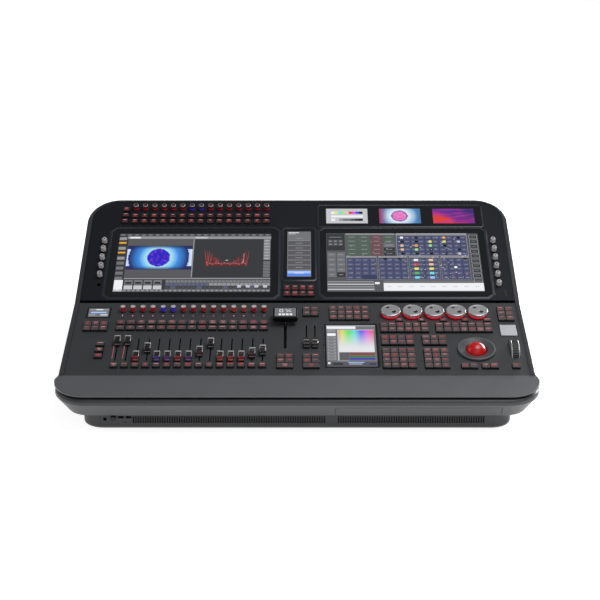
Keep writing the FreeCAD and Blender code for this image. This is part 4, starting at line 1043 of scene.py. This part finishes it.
def wrist_rest():
    """The rest keeps its CAD shape; a near-black strip of painted shadow lines the groove under its nose."""
    dress(REST, "wrist_rest")
    low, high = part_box("wrist_rest")
    half, near = high[0] - 7 * MM, low[1] + 7.5 * MM
    rear, corner = -0.29, 68 * MM
    rings = []
    for level in (91.2 * MM, 95.6 * MM):
        rings.append([(-half, rear, level)]
                     + arc(-half + corner, near + corner, corner, 180, 12, level)
                     + arc(half - corner, near + corner, corner, 270, 12, level)
                     + [(half, rear, level)])
    # painted shadow: the strip lies on the lip's top under the rest's nose, where shade falls
    shape = Shape("world")
    inner = [[(x * 0.998, y + 0.6 * MM, z) for x, y, z in r] for r in rings]
    made = [shape.ring(r) for r in (rings[0], rings[1], inner[1], inner[0])]
    count = len(rings[0])
    for i in range(4):
        a, b = made[i], made[(i + 1) % 4]
        for k in range(count - 1):
            shape.face((a[k], a[k + 1], b[k + 1], b[k]), SHADOW)
    shape.face([m[0] for m in reversed(made)], SHADOW)
    shape.face([m[-1] for m in made], SHADOW)
    shape.piece("groove_painted_shadow", "console")


def socket_details():
    """Pin holes in the round rear sockets as flat near-black discs of painted shadow, contacts in the
    network sockets, and the volume knob.
    """
    shape = Shape("world")
    face, centre_z = 0.3682, 0.150
    # the pin holes are flat discs on the socket face in painted shadow, not real holes
    for x in range(90, 291, 40):
        for k in range(5):
            a = math.radians(-60 + 75 * k)
            pin = circle(0.9 * MM, 10, x * MM + 5 * MM * math.sin(a), centre_z + 5 * MM * math.cos(a))
            shape.face(reversed(shape.ring([(p, face, q) for p, q in pin])), SHADOW)
    front, back, low, high = 0.3538, 0.3660, 0.1525, 0.1536
    for x in range(-60, 16, 25):
        for k in range(8):
            left = (x - 4.4 + k * 1.15) * MM
            right = left + 0.6 * MM
            shape.face(shape.ring([(left, front, low), (right, front, low), (right, back, high),
                                   (left, back, high)]), BRIGHT)
    shape.piece("socket_contacts", "console")
    knob = Shape("world")
    low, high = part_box("volume_knob")
    cx, cz = (low[0] + high[0]) / 2, (low[2] + high[2]) / 2
    shoulder = low[1] + 8.0 * MM
    rings = []
    for radius, y in ((2.0, high[1]), (2.0, shoulder), (5.8, shoulder), (5.8, low[1] + MM), (5.0, low[1])):
        edge = circle(radius * MM, 36, cx, cz)
        if radius > 5.5:
            edge[1::2] = circle((radius - 0.3) * MM, 36, cx, cz)[1::2]
        rings.append([(p, y, q) for p, q in edge])
    knob.stack(rings, [BRIGHT, BLACK])
    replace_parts(knob.piece("volume_knob_cap", "volume_knob"), "volume_knob")


def vent_shadow_sheet():
    """A near-black sheet a little behind the vent slots: painted shadow that keeps the slots dark."""
    low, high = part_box("plinth_front")
    shape = Shape("world")
    left, right = -0.374, 0.422
    shape.block(left, right, low[1] + 5 * MM, low[1] + 6 * MM, low[2] + 6 * MM, high[2] - 5 * MM, SHADOW,
                0.4 * MM, 0.1 * MM)
    shape.piece("vent_painted_shadow", "console")


wrist_rest()
socket_details()
vent_shadow_sheet()


# ---- floor, light and camera

def stage():
    bpy.ops.mesh.primitive_plane_add(size=60, location=(0, 0, 0))
    floor = bpy.context.object
    floor.name = "floor"
    item, _, shader = new_material("pale_floor")
    settle(shader, Base_Color=(0.80, 0.80, 0.80, 1), Roughness=0.9, Specular_IOR_Level=0.1,
           Emission_Color=(1, 1, 1, 1), Emission_Strength=0.82)
    floor.data.materials.append(item)


def area_light(name, place, target, size, power):
    data = bpy.data.lights.new(name, "AREA")
    data.shape = "RECTANGLE"
    data.size, data.size_y = size
    data.energy = power
    item = new_object(name, data)
    item.location = place
    item.rotation_euler = (Vector(target) - Vector(place)).to_track_quat("-Z", "Y").to_euler()


def camera():
    data = bpy.data.cameras.new("camera")
    data.lens = 87.66
    data.sensor_width = 36
    item = new_object("camera", data)
    down = math.radians(23)
    item.location = (0.0064, -3.2248, 1.5417)
    item.rotation_euler = Vector((0, math.cos(down), -math.sin(down))).to_track_quat("-Z", "Y").to_euler()
    bpy.context.scene.camera = item


stage()
area_light("top_softbox", (0.9, -0.4, 2.4), (0.2, 0, 0.15), (2.0, 1.4), 47)
area_light("front_fill", (0.4, -2.6, 1.6), (0, 0, 0.15), (2.4, 1.2), 7)
area_light("right_rim", (3.0, 3.0, 0.8), (0.5, 0, 0.2), (2.2, 1.5), 260)
area_light("left_rim", (-2.4, 0.4, 1.2), (-0.5, 0, 0.15), (0.8, 1.2), 6)
camera()
world = bpy.data.worlds.new("studio")
world.use_nodes = True
settle(world.node_tree.nodes["Background"], Color=(1, 1, 1, 1), Strength=0.16)
bpy.context.scene.world = world
bpy.context.scene.view_settings.view_transform = "Standard"
